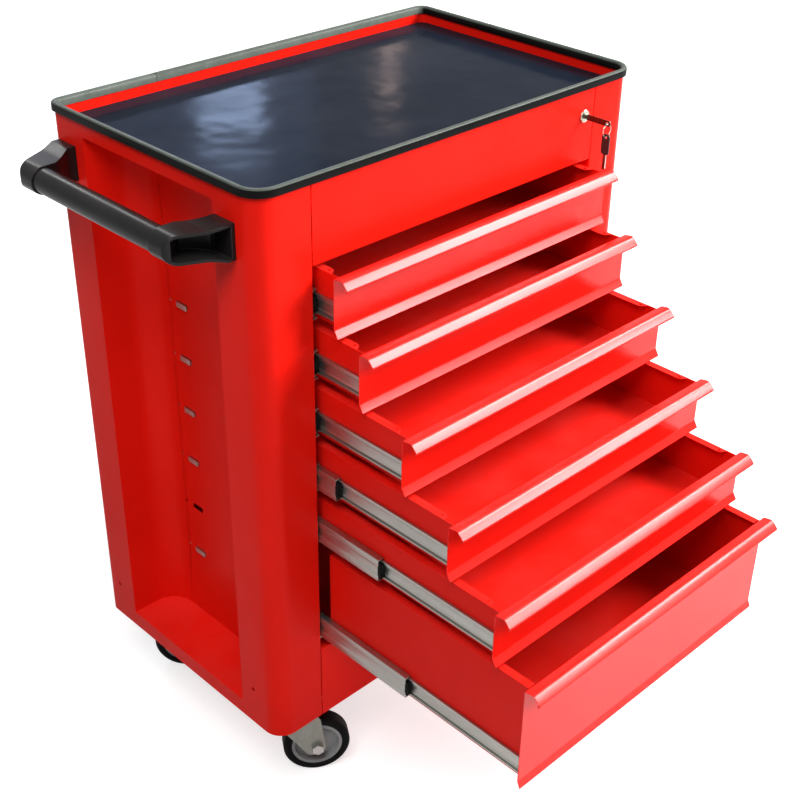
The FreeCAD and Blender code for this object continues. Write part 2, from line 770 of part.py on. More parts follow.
def front_path(i):
    """Rear and upper face of a drawer front, from the flare up to the curled lip."""
    top = SLIDE_TOPS[i]
    low = SLIDE_BOTTOMS[i]
    flare = DEEP_FLARE_OUT if i == DRAWERS - 1 else FLARE_OUT
    return [
        (PANEL_T - flare, low - FLARE_DROP),
        (PANEL_T, low, FLARE_R),
        (PANEL_T, top + PANEL_T, LIP_ROOT_R),
        (PANEL_T - LIP_ARCH, top + LIP_RISE, LIP_ARCH_R),
        (PANEL_T - LIP_REACH, top - LIP_DROP, LIP_NOSE_R),
        (PANEL_T - LIP_REACH + LIP_CURL, top - LIP_DROP - PANEL_T),
    ]


def drawer_front(i):
    """Drawer front: one sheet with a flared lower edge and a full-width finger lip."""
    outline = sheet(front_path(i), PANEL_T)
    edge = POST_W + PANEL_SIDE_GAP
    return prism(outline, "x", edge, WIDTH - edge)


def lip_overhang():
    """How far the foremost point of a lip stands in front of its panel's face."""
    return -face(sheet(front_path(0), PANEL_T), "x", 0).BoundBox.YMin


def pivots():
    """Castor centres: front left, rear left, front right, rear right."""
    return [
        (x, y)
        for x in (PIVOT_IN_X, WIDTH - PIVOT_IN_X)
        for y in (PIVOT_IN_Y, DEPTH - PIVOT_IN_Y)
    ]


def bolt_places():
    """The four bolts of each castor plate."""
    places = []
    for x, y in pivots():
        for side in (-1, 1):
            for end in (-1, 1):
                places.append((x + end * BOLT_SPAN_L / 2, y + side * BOLT_SPAN_W / 2))
    return places


def hexagon(across, spot, high, way):
    """Hexagonal head or nut."""
    radius = across / math.sqrt(3.0)
    corners = []
    for k in range(7):
        turn = math.radians(60 * k + 30)
        corners.append(V(radius * math.cos(turn), radius * math.sin(turn), 0))
    solid = Part.Face(Part.makePolygon(corners)).extrude(V(0, 0, high))
    solid.Placement = FreeCAD.Placement(spot, FreeCAD.Rotation(V(0, 0, 1), way))
    return solid


def castor_bolt(x, y):
    """Bolt up through plate and pan, with its nut inside."""
    low = -PLATE_T - TOUCH
    high = PAN_T + TOUCH
    head = hexagon(BOLT_HEAD, V(x, y, low - BOLT_HEAD_H), BOLT_HEAD_H, V(0, 0, 1))
    nut = hexagon(BOLT_HEAD, V(x, y, high), BOLT_HEAD_H, V(0, 0, 1))
    shank = bar(V(x, y, low - BOLT_HEAD_H / 2), V(x, y, high + BOLT_HEAD_H / 2), BOLT_R)
    return fused([head, nut, shank])


def axle_bolt():
    """Axle of a wheel that rolls along x: head, shank and nut."""
    reach = WHEEL_W / 2 + FORK_GAP + FORK_T + TOUCH
    head = hexagon(AXLE_HEAD, V(0, -reach - AXLE_HEAD_H, AXLE_Z), AXLE_HEAD_H, V(0, 1, 0))
    nut = hexagon(AXLE_HEAD, V(0, reach, AXLE_Z), AXLE_HEAD_H, V(0, 1, 0))
    shank = bar(V(0, -reach - AXLE_HEAD_H / 2, AXLE_Z), V(0, reach + AXLE_HEAD_H + PAST, AXLE_Z), AXLE_R)
    return fused([head, nut, shank])


def fork_leg(shift):
    """One leg of a fork, from the crown down to its eye round the axle."""
    low = AXLE_Z - FORK_EYE_R
    rear = -CROWN_R + FORK_SHOULDER
    front = max(shift, CROWN_R - FORK_SHOULDER)
    knee = CROWN_Z - FORK_SHOULDER
    outline = [
        (rear, CROWN_Z + FORK_T),
        (rear, knee),
        (shift - FORK_EYE_R, low, FORK_EYE_R - FORK_EYE_EDGE),
        (shift + FORK_EYE_R, low, FORK_EYE_R - FORK_EYE_EDGE),
        (front + FORK_SHOULDER, knee, FORK_EDGE_R),
        (front, CROWN_Z + FORK_T),
    ]
    near = WHEEL_W / 2 + FORK_GAP
    leg = prism(outline, "y", near, near + FORK_T)
    start = V(shift, near - PAST, AXLE_Z)
    return leg.cut(bar(start, V(shift, near + FORK_T + PAST, AXLE_Z), AXLE_R + AXLE_FIT))


def swivel_fork():
    """Fork of a swivel castor at its pivot, trailing along +x."""
    leg = fork_leg(TRAIL)
    side = WHEEL_W / 2 + FORK_GAP + FORK_T
    crown = Part.makeCylinder(CROWN_R, FORK_T, V(0, 0, CROWN_Z))
    bridge = box(-CROWN_R + FORK_SHOULDER, TRAIL, -side, side, CROWN_Z, CROWN_Z + FORK_T)
    seat_low = V(0, 0, CROWN_Z + FORK_T)
    hub_seat = bar(seat_low, V(0, 0, -PLATE_T - TOUCH), RACE_R - FORK_T - RACE_FIT)
    king = bar(V(0, 0, CROWN_Z - FORK_T), seat_low, KING_R)
    return fused([leg, leg.mirror(V(0, 0, 0), V(0, 1, 0)), crown, bridge, hub_seat, king])


def fixed_fork():
    """Fork of a fixed castor: two legs and the crown that is riveted under its plate."""
    leg = fork_leg(0)
    reach = CROWN_R - FORK_SHOULDER
    near = WHEEL_W / 2 + FORK_GAP
    top = -PLATE_T - TOUCH
    leg_up = box(-reach, reach, near, near + FORK_T, CROWN_Z, top)
    side = fused([leg, leg_up])
    crown = box(-reach, reach, -near - FORK_T, near + FORK_T, top - FORK_T, top)
    return fused([side, side.mirror(V(0, 0, 0), V(0, 1, 0)), crown])


def castor_plate():
    """Top plate with its four bolt holes."""
    plate = prism(rounded(
        -PLATE_L / 2, PLATE_L / 2, -PLATE_W / 2, PLATE_W / 2, PLATE_R,
    ), "z", -PLATE_T, 0)
    holes = []
    for side in (-1, 1):
        for end in (-1, 1):
            x = end * BOLT_SPAN_L / 2
            y = side * BOLT_SPAN_W / 2
            holes.append(bar(V(x, y, -PLATE_T - PAST), V(x, y, PAST), BOLT_R + BOLT_FIT))
    return plate.cut(holes)


def swivel_plate():
    """Top plate of a swivel castor with the pressed race that holds the fork's ball track."""
    low = V(0, 0, CROWN_Z + FORK_T + TOUCH)
    high = V(0, 0, -PLATE_T)
    ring = bar(low, high, RACE_R).cut(bar(low, high, RACE_R - FORK_T))
    return fused([castor_plate(), ring])


def hub():
    """Wheel centre: boss on the axle, web and rim."""
    boss = WHEEL_W / 2 + FORK_GAP - HUB_SIDE_GAP
    rim = HUB_RIM_W / 2
    web = HUB_WEB / 2
    half = [
        (AXLE_R + AXLE_FIT, boss),
        (HUB_BOSS_R, boss),
        (HUB_BOSS_R, web),
        (HUB_RIM_R, web),
        (HUB_RIM_R, rim),
        (HUB_R - TYRE_SEAT, rim),
    ]
    return wheel_turned(half + [(radius, -across) for radius, across in reversed(half)])


def tyre():
    """Solid tyre with bevelled shoulders."""
    half = WHEEL_W / 2
    side = [
        (HUB_R, HUB_RIM_W / 2),
        (HUB_R + TYRE_SIDE_STEP, half),
        (WHEEL_R - TYRE_SHOULDER, half),
        (WHEEL_R - TYRE_SHOULDER_IN, half - TYRE_SHOULDER_IN),
        (WHEEL_R, half - TYRE_SHOULDER),
    ]
    return wheel_turned(side + [(radius, -across) for radius, across in reversed(side)])


def wheel_turned(outline):
    """Turns a section (radius, across) round the y axis and lifts it to the axle."""
    return turned(outline).translated(V(0, 0, AXLE_Z))


def at_pivot(shape, index, turn=0.0):
    """Turns a castor piece about its pivot and sets it under the body."""
    x, y = pivots()[index]
    placed = shape.copy()
    placed.rotate(V(0, 0, 0), V(0, 0, 1), turn)
    placed.translate(V(x, y, 0))
    return placed


def lock_barrel():
    """Fixed chrome barrel of the lock in the fascia."""
    bezel = bar(V(LOCK_X, -BARREL_FACE, LOCK_Z), V(LOCK_X, 0, LOCK_Z), BARREL_R)
    bezel = bezel.makeChamfer(BARREL_BEVEL, [e for e in bezel.Edges if e.BoundBox.YMax < TINY - BARREL_FACE])
    shell = bar(V(LOCK_X, 0, LOCK_Z), V(LOCK_X, BARREL_L, LOCK_Z), BARREL_BODY_R)
    start = V(LOCK_X, -BARREL_FACE - PAST, LOCK_Z)
    bore = bar(start, V(LOCK_X, BARREL_L + PAST, LOCK_Z), PLUG_R + PLUG_FIT)
    return fused([bezel, shell]).cut(bore)


def lock_plug():
    """Turning plug with the long rod to the rear and the crank that lifts the bar."""
    disc_y = BAR_Y - CRANK_GAP - CRANK_DISC_T
    plug = bar(V(LOCK_X, -BARREL_FACE, LOCK_Z), V(LOCK_X, BARREL_L, LOCK_Z), PLUG_R)
    rod = bar(V(LOCK_X, BARREL_L, LOCK_Z), V(LOCK_X, disc_y, LOCK_Z), ROD_R)
    disc = bar(V(LOCK_X, disc_y, LOCK_Z), V(LOCK_X, disc_y + CRANK_DISC_T, LOCK_Z), CRANK_DISC_R)
    side = CRANK_R / math.sqrt(2.0)
    pin_x = LOCK_X - side
    pin_z = LOCK_Z - side
    pin = bar(V(pin_x, disc_y, pin_z), V(pin_x, BAR_Y + 2 * BAR_T, pin_z), CRANK_PIN_R)
    slot = box(
        LOCK_X - KEY_T / 2 - KEY_FIT, LOCK_X + KEY_T / 2 + KEY_FIT,
        -BARREL_FACE - PAST, KEY_BLADE_IN + KEY_FIT,
        LOCK_Z - KEY_BLADE_H / 2 - KEY_FIT, LOCK_Z + KEY_BLADE_H / 2 + KEY_FIT,
    )
    return fused([plug, rod, disc, pin]).cut(slot)


def key_hole():
    """Middle of the hole in the key's bow."""
    return V(LOCK_X, -KEY_OUT + KEY_HOLE_IN, LOCK_Z)


def lock_key():
    """Flat key in the plug: blade, shoulder and drilled bow."""
    neck = -BARREL_FACE - KEY_NECK
    outline = [
        (-KEY_OUT, LOCK_Z - KEY_H / 2, KEY_BOW_R),
        (neck, LOCK_Z - KEY_H / 2, KEY_NECK_R),
        (neck, LOCK_Z - KEY_BLADE_H / 2),
        (KEY_BLADE_IN, LOCK_Z - KEY_BLADE_H / 2),
        (KEY_BLADE_IN, LOCK_Z + KEY_BLADE_H / 2),
        (neck, LOCK_Z + KEY_BLADE_H / 2),
        (neck, LOCK_Z + KEY_H / 2, KEY_NECK_R),
        (-KEY_OUT, LOCK_Z + KEY_H / 2, KEY_BOW_R),
    ]
    key = prism(outline, "x", LOCK_X - KEY_T / 2, LOCK_X + KEY_T / 2)
    hole = key_hole()
    return key.cut(bar(hole - V(KEY_T, 0, 0), hole + V(KEY_T, 0, 0), KEY_HOLE_R))


def ring_middle():
    """Centre of the key ring, which hangs by its own wire in the key's hole."""
    drop = KEY_HOLE_R - RING_WIRE_R - TOUCH
    return key_hole() - V(0, 0, RING_R + drop)


def key_ring():
    """Wire ring through the key's bow."""
    section = []
    for k in range(RING_SIDES):
        turn = 2 * math.pi * k / RING_SIDES
        section.append((RING_R + RING_WIRE_R * math.cos(turn), RING_WIRE_R * math.sin(turn)))
    ring = face(section, "z", 0).revolve(V(0, 0, 0), V(0, 1, 0), 360)
    return ring.translated(ring_middle())


def spare_hole():
    """Middle of the spare key's hole, whose upper edge hangs on the ring."""
    drop = SPARE_HOLE_R - RING_WIRE_R - TOUCH
    return ring_middle() - V(0, 0, RING_R + drop)


def spare_key():
    """Moulded head of the spare key, which hangs from the ring."""
    hole = spare_hole()
    top = hole.z + SPARE_HOLE_IN
    low = top - SPARE_HEAD_L
    half = SPARE_HEAD_W / 2
    outline = [
        (hole.y - half, top, SPARE_HEAD_R),
        (hole.y + half, top, SPARE_HEAD_R),
        (hole.y + half, low, SPARE_NECK_R),
        (hole.y - half, low, SPARE_NECK_R),
    ]
    head = prism(outline, "x", LOCK_X - SPARE_T / 2, LOCK_X + SPARE_T / 2)
    return head.cut(bar(hole - V(SPARE_T, 0, 0), hole + V(SPARE_T, 0, 0), SPARE_HOLE_R))


def spare_key_blade():
    """Steel blade under the head of the spare key, with its tip cut slanting."""
    hole = spare_hole()
    top = hole.z + SPARE_HOLE_IN - SPARE_HEAD_L
    half = SPARE_BLADE_W / 2
    outline = [
        (hole.y + half, top),
        (hole.y + half, top - SPARE_BLADE_L),
        (hole.y - half, top - SPARE_BLADE_L, SPARE_TIP_R),
        (hole.y - half, top),
    ]
    return prism(outline, "x", LOCK_X - SPARE_BLADE_T / 2, LOCK_X + SPARE_BLADE_T / 2)


def lock_bar():
    """Upright bar behind the drawers, with one hook for each and the slot of the crank pin."""
    half = BAR_W / 2
    shapes = [box(LOCK_X - half, LOCK_X + half, BAR_Y, BAR_Y + BAR_T, BAR_BOTTOM, BAR_TOP)]
    for i in range(DRAWERS):
        lug_low = SLIDE_TOPS[i] - LUG_BELOW_TOP - LUG_T - LUG_DROP
        nib_top = lug_low - HOOK_BELOW_LUG
        arm_top = nib_top - NIB_H
        front = TRAY_REAR + NIB_FROM_TRAY
        left = LOCK_X - LUG_W / 2
        right = LOCK_X + LUG_W / 2
        shapes.append(box(left, right, front, BAR_Y, arm_top - NIB_T, arm_top))
        shapes.append(box(left, right, front, front + NIB_T, arm_top - NIB_T, nib_top))
    bar_solid = fused(shapes)
    side = CRANK_R / math.sqrt(2.0)
    pin = CRANK_PIN_R + CRANK_PIN_FIT
    slot = box(
        LOCK_X - CRANK_R - pin, LOCK_X + pin - side + PAST,
        BAR_Y - PAST, BAR_Y + BAR_T + PAST,
        LOCK_Z - side - pin, LOCK_Z - side + pin,
    )
    return bar_solid.cut(slot)


def build():
    """Every node of the cabinet, by name, in body coordinates."""
    nodes = {}
    left = side_panel()
    well = side_well()
    nodes["side_panel_left"] = left
    nodes["side_panel_right"] = mirror_x(left)
    nodes["side_well_left"] = well
    nodes["side_well_right"] = mirror_x(well)
    nodes["back_panel"] = back_panel()
    nodes["base_pan"] = base_pan()
    nodes["plinth_panel"] = plinth_panel()
    nodes["fascia"] = fascia()
    nodes["top_tray"] = top_tray()
    nodes["rim_trim"] = rim_trim()
    nodes["worktop_mat"] = worktop_mat()
    nodes["handle_tube"] = handle_tube()
    nodes["handle_brackets"] = handle_brackets()
    nodes["cabinet_slides"] = cabinet_slides()
    for i in range(DRAWERS):
        number = i + 1
        rail = V(0, -RAIL_AT_REST[i], 0)
        out = V(0, -OPEN_AT_REST[i], 0)
        nodes["slide_rails_%d" % number] = slide_rails(i).translated(rail)
        nodes["drawer_tray_%d" % number] = drawer_tray(i).translated(out)
        nodes["drawer_front_%d" % number] = drawer_front(i).translated(out)
        nodes["drawer_runners_%d" % number] = drawer_runners(i).translated(out)
    places = ("front_left", "rear_left", "front_right", "rear_right")
    plates = []
    forks = []
    axles = []
    for index, place in enumerate(places):
        swivels = index < len(SWIVEL_REST)
        turn = SWIVEL_REST[index] if swivels else 0.0
        shift = V(TRAIL if swivels else 0, 0, 0)
        nodes["hub_" + place] = at_pivot(hub().translated(shift), index, turn)
        nodes["tyre_" + place] = at_pivot(tyre().translated(shift), index, turn)
        axle = at_pivot(axle_bolt().translated(shift), index, turn)
        if swivels:
            nodes["swivel_fork_" + place] = at_pivot(swivel_fork(), index, turn)
            nodes["axle_bolt_" + place] = axle
            plates.append(at_pivot(swivel_plate(), index))
        else:
            forks.append(at_pivot(castor_plate(), index))
            forks.append(at_pivot(fixed_fork(), index))
            axles.append(axle)
    nodes["swivel_castor_plates"] = group(plates)
    nodes["fixed_castor_forks"] = group(forks)
    nodes["castor_bolts"] = group([castor_bolt(x, y) for x, y in bolt_places()] + axles)
    nodes["lock_barrel"] = lock_barrel()
    nodes["lock_plug"] = lock_plug()
    nodes["lock_key"] = lock_key()
    nodes["key_ring"] = key_ring()
    nodes["spare_key"] = spare_key()
    nodes["spare_key_blade"] = spare_key_blade()
    nodes["lock_bar"] = lock_bar()
    return nodes


def origin_shift():
    """From body coordinates to the middle of the whole object's box, on the ground."""
    x_low = -HANDLE_OUT - BOSS_R
    x_high = WIDTH + TRIM_OUT
    y_low = -max(OPEN_AT_REST) - lip_overhang()
    y_high = DEPTH + TRIM_OUT
    return V(-(x_low + x_high) / 2, -(y_low + y_high) / 2, CASTOR_H)


def main():
    os.makedirs("parts", exist_ok=True)
    shift = origin_shift()
    for name, shape in build().items():
        shape.translated(shift).exportStep("parts/%s.step" % name)


main()
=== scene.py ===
import json
import math

import bmesh
import bpy
from mathutils import Matrix, Vector


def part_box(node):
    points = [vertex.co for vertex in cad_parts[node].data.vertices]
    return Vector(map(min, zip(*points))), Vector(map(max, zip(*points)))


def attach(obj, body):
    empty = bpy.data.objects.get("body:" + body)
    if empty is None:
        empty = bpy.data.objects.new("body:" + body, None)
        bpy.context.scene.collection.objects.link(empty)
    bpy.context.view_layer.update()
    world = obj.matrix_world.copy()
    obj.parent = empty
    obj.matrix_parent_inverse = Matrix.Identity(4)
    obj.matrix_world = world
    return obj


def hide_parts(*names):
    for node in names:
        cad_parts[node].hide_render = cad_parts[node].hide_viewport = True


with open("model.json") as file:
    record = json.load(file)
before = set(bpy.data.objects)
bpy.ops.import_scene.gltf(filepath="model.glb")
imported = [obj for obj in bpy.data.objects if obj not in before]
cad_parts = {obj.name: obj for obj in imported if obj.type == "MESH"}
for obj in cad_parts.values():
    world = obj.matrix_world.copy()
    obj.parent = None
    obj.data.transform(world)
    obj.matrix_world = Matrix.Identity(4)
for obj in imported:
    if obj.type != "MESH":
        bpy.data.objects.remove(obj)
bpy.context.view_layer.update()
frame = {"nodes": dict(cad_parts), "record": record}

WHITE = (1.0, 1.0, 1.0)
EVEN = (1.0, 1.0, 1.0)

# Places are given in millimetres from the front left lower corner of the body
MM = 0.001
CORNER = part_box("side_panel_left")[0]
DRAWERS = 6
WIDTH = 680.0
WALL_IN = 81.2

# Points closer than this, in metres, count as one
SAME_POINT = 2e-6

# Rolled slide members
SLIDE_SHEET = 1.2
RAIL_BEND = 2.2
RAIL_HALF = 17.0
RUNNER_BEND = 1.1
RUNNER_HALF = 13.6

# Ball cages: across from the wall, along from the front end, up from the middle
CAGE_ACROSS = (5.8, 9.8)
CAGE_ALONG = (5.0, 185.0)
CAGES_UP = ((13.75, 15.8), (-15.8, -13.75))
BALL_R = 2.2
BALL_ACROSS = 7.8
BALL_FIRST = 10.0
BALL_STEP = 9.0
BALLS = 20

# Black stops on the front ends of the middle members
STOP_L = 3.5
STOP_ACROSS = (2.0, 11.0)
STOP_DEPTH = 5.5
STOP_HALF = 11.5

# Screws of the rear flanges
SCREW_IN = 22.0
SCREW_LOW = 60.0
SCREW_STEP = 178.5
SCREWS_UP = 5
SCREW_R = 4.2
SCREW_H = 2.2
SCREW_SIDES = 24

# Edge trim: width of the sloping shoulder, and the face normals between which it lies
TRIM_SHOULDER = 3.2
SHOULDER_PROFILE = 0.4
TRIM_TOP_GAP = 1e-5
UPRIGHT_Z = 0.05
FLAT_Z = 0.95

# Push handle: its height, its feet and the ends of its tube
HANDLE_Z = 764.0
FOOT_FRONT_Y = 58.0
FOOT_REAR_Y = 385.0
TUBE_SIDES = 64
TUBE_INSET = 24.0

# Bracket, by the distance out from the side
FOOT_OUT = 12.0
ARM_OUT = 36.0
REAR_SLOPE_OUT = 43.0
NOSE_OUT = 62.0
FRONT_SLOPE_OUT = 70.0
END_OUT = 81.0
FOOT_HALF = 23.5
ARM_HALF = 19.0
FOOT_FLARE = 1.6
FOOT_Y = (39.0, 77.0)
NOSE_Y = (65.5, 98.5)
NOSE_ROUND = 10.0
BRACKET_WALL = 4.0
BRACKET_EASE = 2.2
POCKET_OUT = (6.0, 72.0)
POCKET_SLOPE_OUT = 34.0
POCKET_SLOPE = 0.35
POCKET_LEAST = 6.0
# Camera at the photograph's viewpoint, for a square frame
CAMERA_SPOT = (-868.04, -1107.17, 1421.03)
CAMERA_AZIMUTH = 44.77
CAMERA_DOWN = 31.28
CAMERA_ROLL = 0.893
CAMERA_LENS = 61.22
SENSOR = 36.0
FAR_CLIP = 60.0


def at(x, y, z):
    """A place in the row frame from millimetres in body coordinates."""
    return CORNER + Vector((x, y, z)) * MM


# Shader groups

SKIN_OUTPUTS = [
    ("Height", "NodeSocketFloat"), ("Roughness", "NodeSocketFloat"), ("Tone", "NodeSocketFloat"),
]


def new_group(name, inputs, outputs):
    """Empty shader node group with named sockets."""
    tree = bpy.data.node_groups.new(name, "ShaderNodeTree")
    for label, kind, value in inputs:
        socket = tree.interface.new_socket(name=label, in_out="INPUT", socket_type=kind)
        socket.default_value = value
    for label, kind in outputs:
        tree.interface.new_socket(name=label, in_out="OUTPUT", socket_type=kind)
    return tree, tree.nodes.new("NodeGroupInput"), tree.nodes.new("NodeGroupOutput")


def feed(tree, socket, value):
    """Give an input a plain number, or a link from another socket."""
    if isinstance(value, (int, float)):
        socket.default_value = value
    else:
        tree.links.new(value, socket)


def math_node(tree, operation, a, b=0.0):
    """Math node whose inputs are sockets or plain numbers."""
    node = tree.nodes.new("ShaderNodeMath")
    node.operation = operation
    feed(tree, node.inputs[0], a)
    feed(tree, node.inputs[1], b)
    return node.outputs[0]


def product(tree, a, b):
    """Product of two sockets or plain numbers."""
    return math_node(tree, "MULTIPLY", a, b)


def noise(tree, vector, scale, detail, rough=0.55):
    """Noise factor over a vector. The scale is a number or a socket."""
    node = tree.nodes.new("ShaderNodeTexNoise")
    tree.links.new(vector, node.inputs["Vector"])
    feed(tree, node.inputs["Scale"], scale)
    node.inputs["Detail"].default_value = detail
    node.inputs["Roughness"].default_value = rough
    return node.outputs["Fac"]


def spread(tree, value, low, high, out_low, out_high):
    """Map a value from one range to another, clamped."""
    node = tree.nodes.new("ShaderNodeMapRange")
    node.clamp = True
    tree.links.new(value, node.inputs["Value"])
    feed(tree, node.inputs["From Min"], low)
    feed(tree, node.inputs["From Max"], high)
    feed(tree, node.inputs["To Min"], out_low)
    feed(tree, node.inputs["To Max"], out_high)
    return node.outputs["Result"]


def mixed(tree, factor, a, b):
    """Colour between two colours, each a socket or a plain colour."""
    node = tree.nodes.new("ShaderNodeMix")
    node.data_type = "RGBA"
    tree.links.new(factor, node.inputs[0])
    for index, value in ((6, a), (7, b)):
        if isinstance(value, tuple):
            node.inputs[index].default_value = value + (1.0,)
        else:
            tree.links.new(value, node.inputs[index])
    return node.outputs[2]


def object_vector(tree, stretch=EVEN):
    """Object coordinates, squeezed along chosen axes."""
    coord = tree.nodes.new("ShaderNodeTexCoord")
    if stretch == EVEN:
        return coord.outputs["Object"]
    mapping = tree.nodes.new("ShaderNodeMapping")
    mapping.inputs["Scale"].default_value = stretch
    tree.links.new(coord.outputs["Object"], mapping.inputs["Vector"])
    return mapping.outputs["Vector"]


def facing(tree, axis):
    """Part of the face normal along one axis."""
    geometry = tree.nodes.new("ShaderNodeNewGeometry")
    split = tree.nodes.new("ShaderNodeSeparateXYZ")
    tree.links.new(geometry.outputs["Normal"], split.inputs[0])
    return split.outputs[axis]


def make_peel_group():
    """Skin of sprayed paint: fine waviness, roughness that wanders, and slow tone changes."""
    tree, given, out = new_group(
        "sprayed_skin",
        [
            ("Vector", "NodeSocketVector", (0, 0, 0)),
            ("Peel Scale", "NodeSocketFloat", 260.0),
            ("Patch Scale", "NodeSocketFloat", 7.0),
            ("Rough Low", "NodeSocketFloat", 0.2),
            ("Rough High", "NodeSocketFloat", 0.3),
        ],
        SKIN_OUTPUTS,
    )
    vector = given.outputs["Vector"]
    waves = noise(tree, vector, given.outputs["Peel Scale"], 2.0)
    slow = noise(tree, vector, given.outputs["Patch Scale"], 3.0)
    tree.links.new(waves, out.inputs["Height"])
    rough = spread(tree, slow, 0.3, 0.7, given.outputs["Rough Low"], given.outputs["Rough High"])
    tree.links.new(rough, out.inputs["Roughness"])
    tree.links.new(spread(tree, slow, 0.3, 0.75, 0.0, 1.0), out.inputs["Tone"])
    return tree


def make_metal_group():
    """Rolled and plated steel: streaks along the rolling way and cloudy plating."""
    tree, given, out = new_group(
        "plated_skin",
        [
            ("Vector", "NodeSocketVector", (0, 0, 0)),
            ("Streak Vector", "NodeSocketVector", (0, 0, 0)),
            ("Streak Scale", "NodeSocketFloat", 160.0),
            ("Cloud Scale", "NodeSocketFloat", 40.0),
            ("Rough Low", "NodeSocketFloat", 0.25),
            ("Rough High", "NodeSocketFloat", 0.45),
        ],
        SKIN_OUTPUTS,
    )
    streaks = noise(tree, given.outputs["Streak Vector"], given.outputs["Streak Scale"], 4.0, 0.6)
    clouds = noise(tree, given.outputs["Vector"], given.outputs["Cloud Scale"], 3.0)
    both = product(tree, math_node(tree, "ADD", streaks, clouds), 0.5)
    tree.links.new(streaks, out.inputs["Height"])
    rough = spread(tree, both, 0.35, 0.65, given.outputs["Rough Low"], given.outputs["Rough High"])
    tree.links.new(rough, out.inputs["Roughness"])
    tree.links.new(spread(tree, both, 0.3, 0.7, 0.0, 1.0), out.inputs["Tone"])
    return tree


def make_dust_group():
    """Dust that lies on faces that look up, thicker in patches."""
    tree, given, out = new_group(
        "settled_dust",
        [
            ("Vector", "NodeSocketVector", (0, 0, 0)),
            ("Amount", "NodeSocketFloat", 0.1),
            ("Patch Scale", "NodeSocketFloat", 12.0),
        ],
        [("Mask", "NodeSocketFloat")],
    )
    up = spread(tree, facing(tree, "Z"), 0.5, 1.0, 0.0, 1.0)
    clumps = noise(tree, given.outputs["Vector"], given.outputs["Patch Scale"], 5.0)
    patches = spread(tree, clumps, 0.4, 0.75, 0.2, 1.0)
    mask = product(tree, product(tree, up, patches), given.outputs["Amount"])
    tree.links.new(mask, out.inputs["Mask"])
    return tree


PEEL = make_peel_group()
PLATED = make_metal_group()
DUST = make_dust_group()


# Skin constants: depths in metres, distances in millimetres
DUST_COLOUR = (0.55, 0.5, 0.47)
PEEL_DEPTH = 0.0004
STREAK_STRENGTH = 0.06
STREAK_DEPTH = 0.0002
# Painted highlight on the edge trim: its greenish grey, and where its rear run starts and ends, in mm
# from the rear
PAINTED_SHEEN_COLOUR = (0.10, 0.115, 0.098)
SHEEN_FROM_REAR = (14, 11)
MAT_WAVES = 9.0
MAT_WAVE_DEPTH = 0.0011


def place_group(tree, group, links, values):
    """Group node in a material, with linked sockets and plain values."""
    node = tree.nodes.new("ShaderNodeGroup")
    node.node_tree = group
    for label, socket in links.items():
        tree.links.new(socket, node.inputs[label])
    for label, value in values.items():
        node.inputs[label].default_value = value
    return node


def start_material(name):
    """New material with its Principled shader."""
    material = bpy.data.materials.new(name)
    material.use_nodes = True
    return material, material.node_tree, material.node_tree.nodes["Principled BSDF"]


def bump(tree, shader, height, strength, distance):
    """Bump from a height into the shader's normal."""
    node = tree.nodes.new("ShaderNodeBump")
    node.inputs["Strength"].default_value = strength
    node.inputs["Distance"].default_value = distance
    tree.links.new(height, node.inputs["Height"])
    tree.links.new(node.outputs["Normal"], shader.inputs["Normal"])


def sprayed(name, colour, deep, rough, shine, peel=0.035, dust=0.03, tint=WHITE):
    """Sprayed or moulded skin in one colour that wanders towards a deeper one."""
    material, tree, shader = start_material(name)
    vector = object_vector(tree)
    skin = place_group(
        tree, PEEL, {"Vector": vector}, {"Rough Low": rough[0], "Rough High": rough[1]},
    )
    lint = place_group(tree, DUST, {"Vector": vector}, {"Amount": dust})
    tone = mixed(tree, skin.outputs["Tone"], colour, deep)
    pale = mixed(tree, lint.outputs["Mask"], tone, DUST_COLOUR)
    tree.links.new(pale, shader.inputs["Base Color"])
    tree.links.new(skin.outputs["Roughness"], shader.inputs["Roughness"])
    shader.inputs["Specular IOR Level"].default_value = shine
    shader.inputs["Specular Tint"].default_value = tint + (1.0,)
    bump(tree, shader, skin.outputs["Height"], peel, PEEL_DEPTH)
    return material


def plated(name, colour, deep, rough, stretch):
    """Plated steel with streaks along one axis."""
    material, tree, shader = start_material(name)
    skin = place_group(
        tree, PLATED,
        {"Vector": object_vector(tree), "Streak Vector": object_vector(tree, stretch)},
        {"Rough Low": rough[0], "Rough High": rough[1]},
    )
    tree.links.new(mixed(tree, skin.outputs["Tone"], colour, deep), shader.inputs["Base Color"])
    tree.links.new(skin.outputs["Roughness"], shader.inputs["Roughness"])
    shader.inputs["Metallic"].default_value = 1.0
    bump(tree, shader, skin.outputs["Height"], STREAK_STRENGTH, STREAK_DEPTH)
    return material


def waved(material, scale, distance):
    """Long shallow waves under the finer skin of a material."""
    tree = material.node_tree
    fine = next(node for node in tree.nodes if node.bl_idname == "ShaderNodeBump")
    waves = tree.nodes.new("ShaderNodeBump")
    waves.inputs["Strength"].default_value = 1.0
    waves.inputs["Distance"].default_value = distance
    tree.links.new(noise(tree, object_vector(tree), scale, 2.0, 0.6), waves.inputs["Height"])
    tree.links.new(waves.outputs["Normal"], fine.inputs["Normal"])


